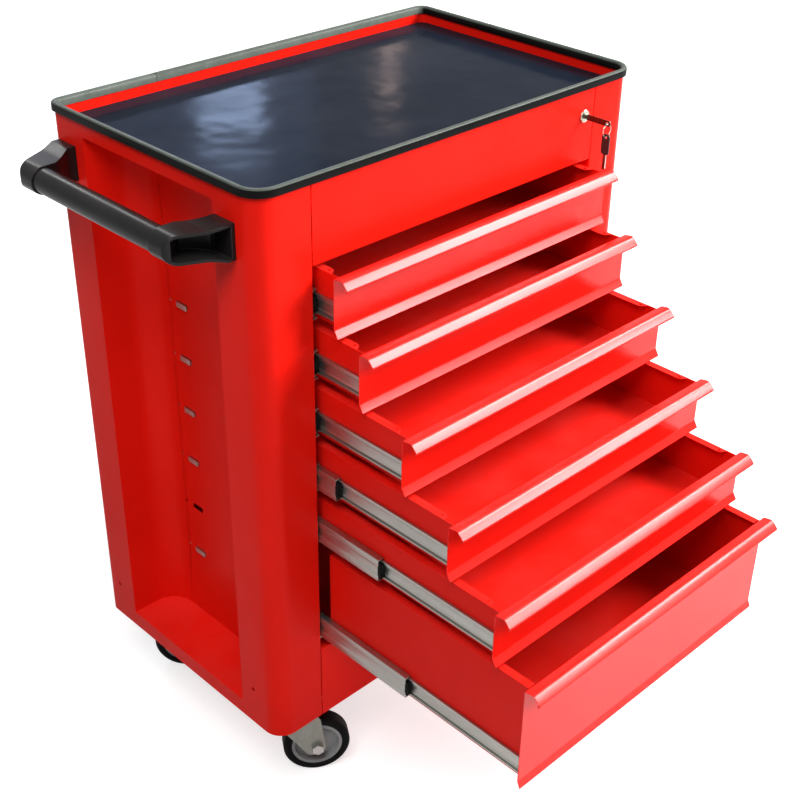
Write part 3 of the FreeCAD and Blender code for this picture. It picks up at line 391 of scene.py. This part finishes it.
def painted_trim_sheen(material):
    """Painted highlight on the rubber: a patchy greenish grey on its top all round, and on the inner
    face of its rear run, that stands in for the lamp's light mirrored there.
    """
    tree = material.node_tree
    shader = tree.nodes["Principled BSDF"]
    under = shader.inputs["Base Color"].links[0].from_socket
    place = tree.nodes.new("ShaderNodeSeparateXYZ")
    tree.links.new(object_vector(tree), place.inputs[0])
    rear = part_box("rim_trim")[1].y
    near, far = (rear - step * MM for step in SHEEN_FROM_REAR)
    back = spread(tree, place.outputs["Y"], near, far, 0.0, 1.0)
    front = spread(tree, facing(tree, "Y"), 0.2, 0.6, 1.0, 0.0)
    patches = spread(tree, noise(tree, object_vector(tree), 60.0, 4.0), 0.3, 0.7, 0.75, 1.0)
    top = spread(tree, facing(tree, "Z"), 0.3, 0.6, 0.0, 0.8)
    where = math_node(tree, "MAXIMUM", product(tree, back, front), top)
    # Greenish grey painted highlight laid over the trim's own black
    sheen_colour = mixed(tree, product(tree, where, patches), under, PAINTED_SHEEN_COLOUR)
    tree.links.new(sheen_colour, shader.inputs["Base Color"])


RED_PAINT = sprayed(
    "red_powder_coat", (0.80, 0.011, 0.005), (0.74, 0.009, 0.004), (0.28, 0.38), 0.055,
)
FRONT_PAINT = sprayed(
    "red_front_coat", (0.80, 0.011, 0.006), (0.74, 0.009, 0.005), (0.19, 0.27), 0.25,
)
TRAY_PAINT = sprayed(
    "red_drawer_coat", (0.72, 0.009, 0.004), (0.66, 0.007, 0.003), (0.32, 0.42), 0.08,
)
TRIM_BLACK = sprayed(
    "black_edge_trim", (0.003, 0.003, 0.003), (0.006, 0.006, 0.006), (0.24, 0.32), 0.06,
    peel=0.04, dust=0.05,
)
HANDLE_BLACK = sprayed(
    "black_handle_moulding", (0.008, 0.007, 0.007), (0.014, 0.012, 0.012), (0.26, 0.36), 0.2,
    peel=0.1,
)
# The mat's blue specular tint and the blue lean of its black are a painted reflection: they make the
# white surroundings mirror in the mat as blue
MAT_BLACK = sprayed(
    "black_mat", (0.006, 0.009, 0.016), (0.009, 0.013, 0.023), (0.09, 0.16), 0.012,
    peel=0.08, dust=0.01, tint=(0.6, 0.75, 1.0),
)
waved(MAT_BLACK, MAT_WAVES, MAT_WAVE_DEPTH)
# Painted highlight on the trim's top and on the inner face of its rear run
painted_trim_sheen(TRIM_BLACK)
TYRE_BLACK = sprayed(
    "black_tyre_rubber", (0.004, 0.004, 0.004), (0.008, 0.008, 0.008), (0.45, 0.6), 0.05,
    peel=0.1,
)
HUB_GREY = sprayed(
    "grey_hub_moulding", (0.30, 0.31, 0.31), (0.24, 0.25, 0.25), (0.35, 0.45), 0.4,
    peel=0.05,
)
KEY_BLACK = sprayed(
    "black_key_head", (0.02, 0.012, 0.012), (0.03, 0.02, 0.02), (0.35, 0.45), 0.4,
    peel=0.05,
)
STOP_BLACK = sprayed(
    "black_slide_stop", (0.003, 0.003, 0.003), (0.006, 0.006, 0.006), (0.35, 0.5), 0.05,
    peel=0.05, dust=0.0,
)

# Streaks run along the squeezed axis
ALONG_DEPTH = (1.0, 0.04, 1.0)
UPRIGHT = (1.0, 1.0, 0.1)
ALONG_BLADE = (1.0, 1.0, 0.2)

ZINC = plated(
    "zinc_slides", (0.47, 0.465, 0.43), (0.40, 0.395, 0.365), (0.3, 0.42), ALONG_DEPTH,
)
CASTOR_ZINC = plated(
    "zinc_castors", (0.30, 0.31, 0.27), (0.23, 0.24, 0.21), (0.24, 0.38), UPRIGHT,
)
STEEL = plated("bolt_steel", (0.6, 0.6, 0.58), (0.48, 0.48, 0.46), (0.2, 0.34), EVEN)
CHROME = plated("lock_chrome", (0.62, 0.61, 0.5), (0.5, 0.49, 0.4), (0.18, 0.28), EVEN)
KEY_STEEL = plated("key_steel", (0.12, 0.1, 0.08), (0.07, 0.06, 0.045), (0.3, 0.42), ALONG_BLADE)
BRIGHT_STEEL = plated(
    "bright_key_steel", (0.62, 0.55, 0.48), (0.5, 0.44, 0.38), (0.2, 0.32), ALONG_BLADE,
)
SLOT_MATERIALS = {
    "red_paint": RED_PAINT,
    "well_paint": RED_PAINT,
    "tray_paint": RED_PAINT,
    "drawer_front_paint": FRONT_PAINT,
    "drawer_tray_paint": TRAY_PAINT,
    "slide_zinc": ZINC,
    "trim_rubber": TRIM_BLACK,
    "mat_rubber": MAT_BLACK,
    "handle_black": HANDLE_BLACK,
    "castor_zinc": CASTOR_ZINC,
    "bolt_steel": STEEL,
    "hub_grey": HUB_GREY,
    "tyre_black": TYRE_BLACK,
    "lock_chrome": CHROME,
    "key_steel": KEY_STEEL,
    "key_black": KEY_BLACK,
}
NODE_SLOT = {row["node"]: row["material_slot"] for row in frame["record"]["subparts"]}
NODE_BODY = {
    node: body
    for body, nodes in frame["record"]["behaviour"]["bodies"].items()
    for node in nodes
}


def dress_nodes():
    """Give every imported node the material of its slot."""
    for name, node in frame["nodes"].items():
        material = SLOT_MATERIALS[NODE_SLOT[name]]
        node.data.materials.clear()
        node.data.materials.append(material)
        for polygon in node.data.polygons:
            polygon.material_index = 0


def stand_for(piece, *nodes):
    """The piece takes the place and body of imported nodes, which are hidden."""
    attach(piece, NODE_BODY[nodes[0]])
    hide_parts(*nodes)
    return piece


def linked(name, data):
    """New object that holds the data, linked to the scene."""
    piece = bpy.data.objects.new(name, data)
    bpy.context.scene.collection.objects.link(piece)
    return piece


def node_shell(name, node):
    """Copy of a node as an object, and its shell with doubled points merged."""
    piece = linked(name, frame["nodes"][node].data.copy())
    shell = bmesh.new()
    shell.from_mesh(piece.data)
    bmesh.ops.remove_doubles(shell, verts=shell.verts, dist=SAME_POINT)
    return piece, shell


def shade(shell, mesh, angle):
    """Write a shell to its mesh, smooth but for the edges that turn by more than the angle."""
    for one in shell.faces:
        one.smooth = True
    for edge in shell.edges:
        curved = len(edge.link_faces) == 2 and edge.calc_face_angle() < math.radians(angle)
        edge.smooth = curved
    shell.to_mesh(mesh)
    shell.free()


def rounding(piece, width, segments, angle):
    """Rounded edges of a width in millimetres, where faces turn by more than the angle."""
    ease = piece.modifiers.new("ease", "BEVEL")
    ease.width = width * MM
    ease.segments = segments
    ease.limit_method = "ANGLE"
    ease.angle_limit = math.radians(angle)
    ease.use_clamp_overlap = True
    return ease


def softened(name, node, width=0.35):
    """Copy of a node with merged points, eased edges and smooth shading on its curves."""
    piece, shell = node_shell(name, node)
    shade(shell, piece.data, 30.0)
    rounding(piece, width, 2, 30.0).harden_normals = True
    return stand_for(piece, node)


def new_piece(name, points, faces, material):
    """Mesh piece from points in metres, with outward normals and smooth curves."""
    mesh = bpy.data.meshes.new(name)
    mesh.from_pydata([tuple(point) for point in points], [], faces)
    mesh.materials.append(material)
    shell = bmesh.new()
    shell.from_mesh(mesh)
    bmesh.ops.recalc_face_normals(shell, faces=shell.faces)
    shade(shell, mesh, 35.0)
    return linked(name, mesh)


def eased(piece, width):
    """Piece with rounded edges of a width in millimetres and even shading."""
    rounding(piece, width, 3, 35.0)
    level = piece.modifiers.new("even normals", "WEIGHTED_NORMAL")
    level.keep_sharp = True
    return piece


def block(low, high):
    """Points and faces of a box between two corners."""
    xs, ys, zs = zip(low, high)
    points = [Vector((x, y, z)) for x in xs for y in ys for z in zs]
    faces = [(0, 1, 3, 2), (4, 6, 7, 5), (0, 4, 5, 1), (2, 3, 7, 6), (0, 2, 6, 4), (1, 5, 7, 3)]
    return points, faces


def swept(section, y_low, y_high):
    """Points and faces of a closed section of (x, z) points drawn out along y."""
    count = len(section)
    points = [Vector((x, y, z)) for y in (y_low, y_high) for x, z in section]
    faces = [(i, (i + 1) % count, (i + 1) % count + count, i + count) for i in range(count)]
    faces.append(tuple(range(count)))
    faces.append(tuple(range(2 * count - 1, count - 1, -1)))
    return points, faces


def joined(parts):
    """Points and faces of several parts as one mesh."""
    points, faces = [], []
    for part_points, part_faces in parts:
        start = len(points)
        points += part_points
        faces += [tuple(start + i for i in one) for one in part_faces]
    return points, faces


def round_path(corners, radius, steps=4):
    """Path of (x, z) corners with its inner corners rounded."""
    path = [Vector(corners[0])]
    for before, here, after in zip(corners, corners[1:], corners[2:]):
        here = Vector(here)
        back = Vector(before) - here
        ahead = Vector(after) - here
        half = back.angle(ahead) / 2
        leg = 0.45 * min(back.length, ahead.length)
        reach = min(radius / math.tan(half), leg)
        start = here + back.normalized() * reach
        end = here + ahead.normalized() * reach
        for step in range(steps + 1):
            t = step / steps
            path.append(start * (1 - t) ** 2 + here * 2 * t * (1 - t) + end * t ** 2)
    path.append(Vector(corners[-1]))
    return path


def thick_path(path, thickness):
    """Closed section of a path given thickness on its left side."""
    inner = []
    for index, here in enumerate(path):
        before = path[max(index - 1, 0)]
        after = path[min(index + 1, len(path) - 1)]
        into = (here - before).normalized() if index else (after - here).normalized()
        out = (after - here).normalized() if index < len(path) - 1 else into
        side = Vector((-into.y - out.y, into.x + out.x)).normalized()
        spread_out = max(side.dot(Vector((-into.y, into.x))), 0.5)
        inner.append(here + side * thickness / spread_out)
    return [tuple(point) for point in path] + [tuple(point) for point in reversed(inner)]


def mirrored(part):
    """The part mirrored about the middle of the cabinet's width."""
    points, faces = part
    middle = CORNER.x + WIDTH / 2 * MM
    points = [Vector((2 * middle - p.x, p.y, p.z)) for p in points]
    return points, [tuple(reversed(one)) for one in faces]


def across(distance):
    """Place along x, from millimetres out of the left wall beside the drawers."""
    return at(WALL_IN + distance, 0, 0).x


def member(corners, bend, y_low, y_high, middle):
    """Rolled slide member: corners are (across from the wall, up from the middle) in mm."""
    path = [Vector((across(u), middle + v * MM)) for u, v in corners]
    section = thick_path(round_path(path, bend * MM), SLIDE_SHEET * MM)
    return swept(section, y_low, y_high)


def rail_corners():
    """Middle member: a channel open to the drawer, its web pressed in between the ball races."""
    half = RAIL_HALF
    return [
        (12.0, half - 2.0), (12.0, half), (1.6, half),
        (1.6, 8.0), (3.4, 5.5), (3.4, -5.5), (1.6, -8.0),
        (1.6, -half), (12.0, -half), (12.0, -half + 2.0),
    ]


def runner_corners():
    """Drawer member: a channel open to the cabinet, with two ridges pressed into its web."""
    half = RUNNER_HALF
    return [
        (8.0, -half + 2.6), (8.0, -half), (12.7, -half),
        (12.7, -10.0), (11.1, -8.6), (12.7, -7.0),
        (12.7, 5.2), (9.9, 8.1), (12.7, 10.4),
        (12.7, half), (8.0, half), (8.0, half - 2.4),
    ]


def ball(radius):
    """Small ball mesh with its radius in mm."""
    mesh = bpy.data.meshes.new("ball")
    shape = bmesh.new()
    bmesh.ops.create_icosphere(shape, subdivisions=2, radius=radius * MM)
    for one in shape.faces:
        one.smooth = True
    shape.to_mesh(mesh)
    shape.free()
    return mesh


def screw_head(radius, height):
    """Pan head along +z with a six-sided socket, sizes in mm."""
    # Rings from the seat to the socket's floor: shares of radius and height, and six-sided or not
    rings = (
        (1.0, 0.0, False), (1.0, 0.45, False), (0.9, 0.8, False), (0.7, 1.0, False),
        (0.48, 1.0, True), (0.48, 0.35, True),
    )
    count = SCREW_SIDES
    sixth = math.pi / 3
    points, faces = [], []
    for wide, tall, six_sided in rings:
        for i in range(count):
            a = math.tau * i / count
            r = wide * radius
            if six_sided:
                r *= math.cos(sixth / 2) / math.cos(a % sixth - sixth / 2)
            points.append(Vector((r * math.cos(a), r * math.sin(a), tall * height)) * MM)
    for ring in range(len(rings) - 1):
        a, b = ring * count, (ring + 1) * count
        faces += [(a + i, a + (i + 1) % count, b + (i + 1) % count, b + i) for i in range(count)]
    faces.append(tuple(range(len(points) - count, len(points))))
    faces.append(tuple(reversed(range(count))))
    mesh = bpy.data.meshes.new("screw head")
    mesh.from_pydata([tuple(point) for point in points], [], faces)
    for polygon in mesh.polygons:
        polygon.use_smooth = True
    mesh.set_sharp_from_angle(angle=math.radians(30))
    return mesh


def repeat_tree():
    """Geometry nodes that put an item on every point and join the copies."""
    tree = bpy.data.node_groups.new("repeat_items", "GeometryNodeTree")
    sockets = {}
    for label, kind in (
        ("Geometry", "NodeSocketGeometry"), ("Item", "NodeSocketObject"),
        ("Turn", "NodeSocketVector"), ("Skin", "NodeSocketMaterial"),
    ):
        socket = tree.interface.new_socket(name=label, in_out="INPUT", socket_type=kind)
        sockets[label] = socket.identifier
    tree.interface.new_socket(
        name="Geometry", in_out="OUTPUT", socket_type="NodeSocketGeometry",
    )
    given = tree.nodes.new("NodeGroupInput")
    out = tree.nodes.new("NodeGroupOutput")
    info = tree.nodes.new("GeometryNodeObjectInfo")
    put = tree.nodes.new("GeometryNodeInstanceOnPoints")
    turn = tree.nodes.new("FunctionNodeEulerToRotation")
    real = tree.nodes.new("GeometryNodeRealizeInstances")
    skin = tree.nodes.new("GeometryNodeSetMaterial")
    for start, sent, end, taken in (
        (given, "Item", info, "Object"),
        (given, "Geometry", put, "Points"),
        (info, "Geometry", put, "Instance"),
        (given, "Turn", turn, "Euler"),
        (turn, "Rotation", put, "Rotation"),
        (put, "Instances", real, "Geometry"),
        (real, "Geometry", skin, "Geometry"),
        (given, "Skin", skin, "Material"),
        (skin, "Geometry", out, "Geometry"),
    ):
        tree.links.new(start.outputs[sent], end.inputs[taken])
    return tree, sockets


REPEAT, REPEAT_SOCKETS = repeat_tree()


def repeated(name, item_mesh, places, skin, body, turn=(0.0, 0.0, 0.0)):
    """One mesh of an item repeated at places in metres."""
    mesh = bpy.data.meshes.new(name + " points")
    mesh.from_pydata([tuple(place) for place in places], [], [])
    holder = linked(name + " points", mesh)
    item = linked(name + " item", item_mesh)
    modifier = holder.modifiers.new("repeat", "NODES")
    modifier.node_group = REPEAT
    modifier[REPEAT_SOCKETS["Item"]] = item
    modifier[REPEAT_SOCKETS["Turn"]] = turn
    modifier[REPEAT_SOCKETS["Skin"]] = skin
    bpy.context.view_layer.update()
    ready = holder.evaluated_get(bpy.context.evaluated_depsgraph_get())
    copies = bpy.data.meshes.new_from_object(ready)
    copies.name = name
    bpy.data.objects.remove(holder)
    bpy.data.objects.remove(item)
    piece = linked(name, copies)
    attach(piece, body)
    return piece


def make_rear_screws():
    """Screws that hold the back panel's flanges."""
    depth = (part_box("side_panel_left")[1].y - CORNER.y) / MM
    heights = [SCREW_LOW + SCREW_STEP * step for step in range(SCREWS_UP)]
    places = [at(x, depth, z) for x in (SCREW_IN, WIDTH - SCREW_IN) for z in heights]
    head = screw_head(SCREW_R, SCREW_H)
    backwards = (-math.pi / 2, 0.0, 0.0)
    repeated("rear_screws", head, places, STEEL, NODE_BODY["side_panel_left"], backwards)


def make_rails(number):
    """Middle members of one drawer with their ball cages, balls and black front stops."""
    node = "slide_rails_%d" % number
    low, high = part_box(node)
    middle = (low.z + high.z) / 2
    parts = [member(rail_corners(), RAIL_BEND, low.y + STOP_L * MM, high.y, middle)]
    balls = []
    for z_low, z_high in CAGES_UP:
        parts.append(block(
            (across(CAGE_ACROSS[0]), low.y + CAGE_ALONG[0] * MM, middle + z_low * MM),
            (across(CAGE_ACROSS[1]), low.y + CAGE_ALONG[1] * MM, middle + z_high * MM),
        ))
        up = middle + (z_low + z_high) / 2 * MM
        for k in range(BALLS):
            balls.append(Vector((across(BALL_ACROSS), low.y + (BALL_FIRST + BALL_STEP * k) * MM, up)))
    parts += [mirrored(part) for part in parts]
    rails = new_piece("rolled_rails_%d" % number, *joined(parts), ZINC)
    stand_for(rails, node)
    make_stops(number, node, low.y, middle)
    balls += mirrored((balls, []))[0]
    repeated("slide_balls_%d" % number, ball(BALL_R), balls, STEEL, NODE_BODY[node])


def make_stops(number, node, front, middle):
    """Black moulded stops on the front ends of one drawer's middle members."""
    stop = block(
        (across(STOP_ACROSS[0]), front, middle - STOP_HALF * MM),
        (across(STOP_ACROSS[1]), front + STOP_DEPTH * MM, middle + STOP_HALF * MM),
    )
    stops = new_piece("slide_stops_%d" % number, *joined([stop, mirrored(stop)]), STOP_BLACK)
    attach(eased(stops, 1.2), NODE_BODY[node])


def make_runners(number):
    """Drawer members of one drawer."""
    node = "drawer_runners_%d" % number
    low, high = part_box(node)
    left = member(runner_corners(), RUNNER_BEND, low.y, high.y, (low.z + high.z) / 2)
    runners = new_piece("rolled_runners_%d" % number, *joined([left, mirrored(left)]), ZINC)
    stand_for(runners, node)


def make_handle_tube():
    """Tube of the push handle, ending inside the brackets' sockets."""
    low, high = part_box("handle_tube")
    radius = (high.x - low.x) / 2
    centre = (low + high) / 2
    turns = [math.tau * i / TUBE_SIDES for i in range(TUBE_SIDES)]
    section = [
        (centre.x + radius * math.cos(a), centre.z + radius * math.sin(a)) for a in turns
    ]
    inset = TUBE_INSET * MM
    tube = new_piece("grip_tube", *swept(section, low.y + inset, high.y - inset), HANDLE_BLACK)
    stand_for(tube, "handle_tube")


def clamped(value, high=1.0):
    """Value kept between nothing and a highest value."""
    return min(max(value, 0.0), high)


def bracket_half(out):
    """Half height of the bracket's arm at a distance out from the side."""
    if out <= FOOT_OUT:
        return FOOT_HALF
    if out <= ARM_OUT:
        share = (ARM_OUT - out) / (ARM_OUT - FOOT_OUT)
        return ARM_HALF + (FOOT_HALF - ARM_HALF) * share ** FOOT_FLARE
    if out <= NOSE_OUT:
        return ARM_HALF
    return math.sqrt(max(ARM_HALF ** 2 - (out - NOSE_OUT) ** 2, 0.0))


def bracket_reach(out):
    """Front and rear of the bracket's arm at a distance out from the side."""
    ahead = clamped((out - FOOT_OUT) / (FRONT_SLOPE_OUT - FOOT_OUT))
    back = clamped((out - FOOT_OUT) / (REAR_SLOPE_OUT - FOOT_OUT))
    turn = clamped((out - FRONT_SLOPE_OUT) / (END_OUT - FRONT_SLOPE_OUT), 0.98)
    front = FOOT_Y[0] + (NOSE_Y[0] - FOOT_Y[0]) * ahead
    front += NOSE_ROUND * (1.0 - math.sqrt(1.0 - turn ** 2))
    rear = FOOT_Y[1] + (NOSE_Y[1] - FOOT_Y[1]) * back
    return front, rear


def bracket_ring(out):
    """Outer corners and pocket corners of the bracket at a distance out from the side."""
    half = bracket_half(out)
    front, rear = bracket_reach(out)
    inner = max(half - BRACKET_WALL, 0.5)
    back = rear - BRACKET_WALL
    sloped = back - max(out - POCKET_SLOPE_OUT, 0.0) * POCKET_SLOPE
    floor = min(max(sloped, front + POCKET_LEAST), back)
    return [
        (out, front, -half), (out, rear, -half), (out, rear, half), (out, front, half),
        (out, front, inner), (out, floor, inner), (out, floor, -inner), (out, front, -inner),
    ]


def bracket_part():
    """Front bracket in mm: (out, y, up) rings swept from the foot to the round nose."""
    stations = [0.0, 6.0, 12.0, 16.0, 20.0, 25.0, 30.0, 34.0, 43.0, 53.0, 62.0]
    stations += [
        NOSE_OUT + ARM_HALF * math.sin(math.radians(a)) for a in (15, 30, 45, 58, 70, 80)
    ]
    points, faces = [], []
    for out in stations:
        points += bracket_ring(out)
    pocket = [i for i, out in enumerate(stations) if POCKET_OUT[0] <= out <= POCKET_OUT[1]]
    outside = [(0, 1), (1, 2), (2, 3)]
    hollow = outside + [(3, 4), (4, 5), (5, 6), (6, 7), (7, 0)]
    closed = outside + [(3, 4), (4, 7), (7, 0)]
    for i in range(len(stations) - 1):
        a, b = 8 * i, 8 * (i + 1)
        sides = hollow if i in pocket and i + 1 in pocket else closed
        faces += [(a + j, a + k, b + k, b + j) for j, k in sides]
    first, last = 8 * pocket[0], 8 * pocket[-1]
    faces.append((first + 4, first + 5, first + 6, first + 7))
    faces.append((last + 4, last + 7, last + 6, last + 5))
    faces.append((0, 1, 2, 3, 4, 7))
    end = 8 * (len(stations) - 1)
    faces.append((end, end + 7, end + 4, end + 3, end + 2, end + 1))
    return points, faces


def make_handle_brackets():
    """Both moulded brackets: a rounded nose round the tube's end and a pocket that opens outwards."""
    points, faces = bracket_part()
    middle = (FOOT_FRONT_Y + FOOT_REAR_Y) / 2
    front = [at(-out, y, HANDLE_Z + up) for out, y, up in points]
    rear = [at(-out, 2 * middle - y, HANDLE_Z + up) for out, y, up in points]
    turned = [tuple(reversed(one)) for one in faces]
    both = joined([(front, faces), (rear, turned)])
    piece = new_piece("moulded_brackets", *both, HANDLE_BLACK)
    stand_for(eased(piece, BRACKET_EASE), "handle_brackets")


def make_edge_trim():
    """Edge trim whose inner shoulder slopes towards the mat."""
    trim, shell = node_shell("edge_trim", "rim_trim")
    top = max(v.co.z for v in shell.verts)
    shoulder = []
    for edge in shell.edges:
        low = min(v.co.z for v in edge.verts)
        if len(edge.link_faces) != 2 or low < top - TRIM_TOP_GAP:
            continue
        ups = sorted(abs(one.normal.z) for one in edge.link_faces)
        if ups[0] < UPRIGHT_Z and ups[1] > FLAT_Z:
            shoulder.append(edge)
    bmesh.ops.bevel(
        shell, geom=shoulder, offset=TRIM_SHOULDER * MM, segments=2, affect="EDGES",
        profile=SHOULDER_PROFILE,
    )
    shade(shell, trim.data, 50)
    stand_for(trim, "rim_trim")


BODY_SHEETS = ("fascia", "plinth_panel", "top_tray", "worktop_mat")


def make_body_sheets():
    """Sheets of the body and the mat, with eased edges."""
    for side in ("left", "right"):
        softened("soft_side_" + side, "side_panel_" + side)
        softened("soft_well_" + side, "side_well_" + side)
    for node in BODY_SHEETS:
        softened("soft_" + node, node)


def make_drawer(number):
    """Front, body and slides of one drawer."""
    softened("soft_front_%d" % number, "drawer_front_%d" % number)
    softened("soft_tray_%d" % number, "drawer_tray_%d" % number, 0.3)
    make_rails(number)
    make_runners(number)


def make_other_nodes():
    """Eased copies of the nodes that no other function stands for."""
    made = BODY_SHEETS + ("rim_trim", "handle_tube", "handle_brackets")
    made_families = ("side_panel", "side_well", "drawer_", "slide_rails")
    for node in NODE_SLOT:
        if node not in made and not node.startswith(made_families):
            softened("soft_" + node, node, 0.25)
    for node in ("key_ring", "spare_key_blade"):
        bpy.data.objects["soft_" + node].data.materials[0] = BRIGHT_STEEL


def make_pieces():
    """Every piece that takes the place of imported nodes, and the small fasteners."""
    make_body_sheets()
    for number in range(1, DRAWERS + 1):
        make_drawer(number)
    make_edge_trim()
    make_handle_tube()
    make_handle_brackets()
    make_rear_screws()
    make_other_nodes()


# Floor and surroundings: metres, strengths, and the share of light that mirrors show
FLOOR_HALF = 14.0
GLOW_DISTANCES = (0.9, 2.6)
GLOW_STRENGTHS = (0.7, 1.0)
FLOOR_MIRRORED = 0.5
WORLD_MIRRORED = 0.6
WORLD_STRENGTH = 0.14


def seen_rays(tree, share):
    """One for camera rays, and a share of it for the mirrored and refracted rays."""
    path = tree.nodes.new("ShaderNodeLightPath")
    glossy = path.outputs["Is Glossy Ray"]
    bent = math_node(tree, "MAXIMUM", glossy, path.outputs["Is Transmission Ray"])
    return math_node(tree, "MAXIMUM", path.outputs["Is Camera Ray"], product(tree, bent, share))


def make_floor():
    """Pale floor under the cabinet, whose glow grows with the distance and keeps it white."""
    material, tree, shader = start_material("pale_floor")
    vector = object_vector(tree)
    tone = mixed(tree, noise(tree, vector, 3.0, 3.0), (0.56, 0.56, 0.56), (0.54, 0.54, 0.54))
    tree.links.new(tone, shader.inputs["Base Color"])
    shader.inputs["Roughness"].default_value = 0.7
    shader.inputs["Specular IOR Level"].default_value = 0.1
    shader.inputs["Emission Color"].default_value = WHITE + (1.0,)
    away = tree.nodes.new("ShaderNodeVectorMath")
    away.operation = "LENGTH"
    tree.links.new(vector, away.inputs[0])
    far = spread(tree, away.outputs["Value"], *GLOW_DISTANCES, *GLOW_STRENGTHS)
    glow = product(tree, seen_rays(tree, FLOOR_MIRRORED), far)
    tree.links.new(glow, shader.inputs["Emission Strength"])
    mesh = bpy.data.meshes.new("floor")
    floor = linked("floor", mesh)
    plane = bmesh.new()
    bmesh.ops.create_grid(plane, x_segments=1, y_segments=1, size=FLOOR_HALF)
    plane.to_mesh(mesh)
    plane.free()
    mesh.materials.append(material)


def area_light(name, direction, distance, size, power, colour, target):
    """Soft lamp that shines on a target from a direction."""
    lamp = bpy.data.lights.new(name, "AREA")
    lamp.shape = "RECTANGLE"
    lamp.size, lamp.size_y = size
    lamp.energy = power
    lamp.color = colour
    spot = linked(name, lamp)
    way = Vector(direction).normalized()
    spot.location = at(*target) + way * distance
    spot.rotation_euler = way.to_track_quat("Z", "Y").to_euler()


def make_world():
    """Even pale surroundings, white where the camera looks past the floor."""
    world = bpy.data.worlds.new("studio")
    bpy.context.scene.world = world
    world.use_nodes = True
    tree = world.node_tree
    backdrop = tree.nodes["Background"]
    backdrop.inputs["Color"].default_value = WHITE + (1.0,)
    seen = spread(tree, seen_rays(tree, WORLD_MIRRORED), 0.0, 1.0, WORLD_STRENGTH, 1.0)
    tree.links.new(seen, backdrop.inputs["Strength"])


# Lamps: direction, distance in m, size in m, power in W, colour, target in mm
BODY = (340, 100, 450)
MAT_Z = 787
LAMPS = {
    "key_softbox": ((0.6, -0.47, 0.63), 3.0, (1.8, 0.8), 160.0, WHITE, BODY),
    "low_softbox": ((0.648, -0.675, 0.36), 3.0, (1.6, 0.45), 76.0, WHITE, (340, -80, 700)),
    "fill_softbox": ((-0.5, -0.3, 0.8), 3.0, (1.3, 1.3), 64.0, WHITE, BODY),
    "rear_strip": ((0.28, 0.79, 0.545), 3.0, (0.5, 0.45), 9.0, WHITE, (-81, 220, HANDLE_Z)),
    "window_card": (
        (0.572, 0.75, 0.333), 4.0, (0.28, 0.2), 3.8, (0.5, 0.66, 1.0), (228, 350, MAT_Z),
    ),
    "cool_card": (
        (0.535, 0.775, 0.335), 4.0, (1.2, 0.8), 2.8, (0.36, 0.52, 1.0), (130, 330, MAT_Z),
    ),
    "door_card": (
        (0.666, 0.681, 0.305), 4.0, (0.08, 0.32), 0.6, (1.0, 0.72, 0.62), (515, 350, MAT_Z),
    ),
}


def make_lights():
    """Soft lamps round the cabinet, and cards that show as reflections in the mat."""
    for name, values in LAMPS.items():
        area_light(name, *values)


def make_camera():
    """Camera at the photograph's viewpoint."""
    turn = math.radians(CAMERA_AZIMUTH)
    down = math.radians(CAMERA_DOWN)
    roll = math.radians(CAMERA_ROLL)
    level = math.cos(down)
    ahead = Vector((math.sin(turn) * level, math.cos(turn) * level, -math.sin(down)))
    right = Vector((math.cos(turn), -math.sin(turn), 0.0))
    up = right.cross(ahead)
    right_rolled = right * math.cos(roll) + up * math.sin(roll)
    up_rolled = up * math.cos(roll) - right * math.sin(roll)
    matrix = Matrix((right_rolled, up_rolled, -ahead)).transposed().to_4x4()
    matrix.translation = at(*CAMERA_SPOT)
    lens = bpy.data.cameras.new("camera")
    lens.lens = CAMERA_LENS
    lens.sensor_width = SENSOR
    lens.clip_end = FAR_CLIP
    camera = linked("camera", lens)
    camera.matrix_world = matrix
    bpy.context.scene.camera = camera


dress_nodes()
make_pieces()
make_floor()
make_world()
make_lights()
make_camera()
bpy.context.scene.view_settings.view_transform = "Standard"

bpy.context.view_layer.update()
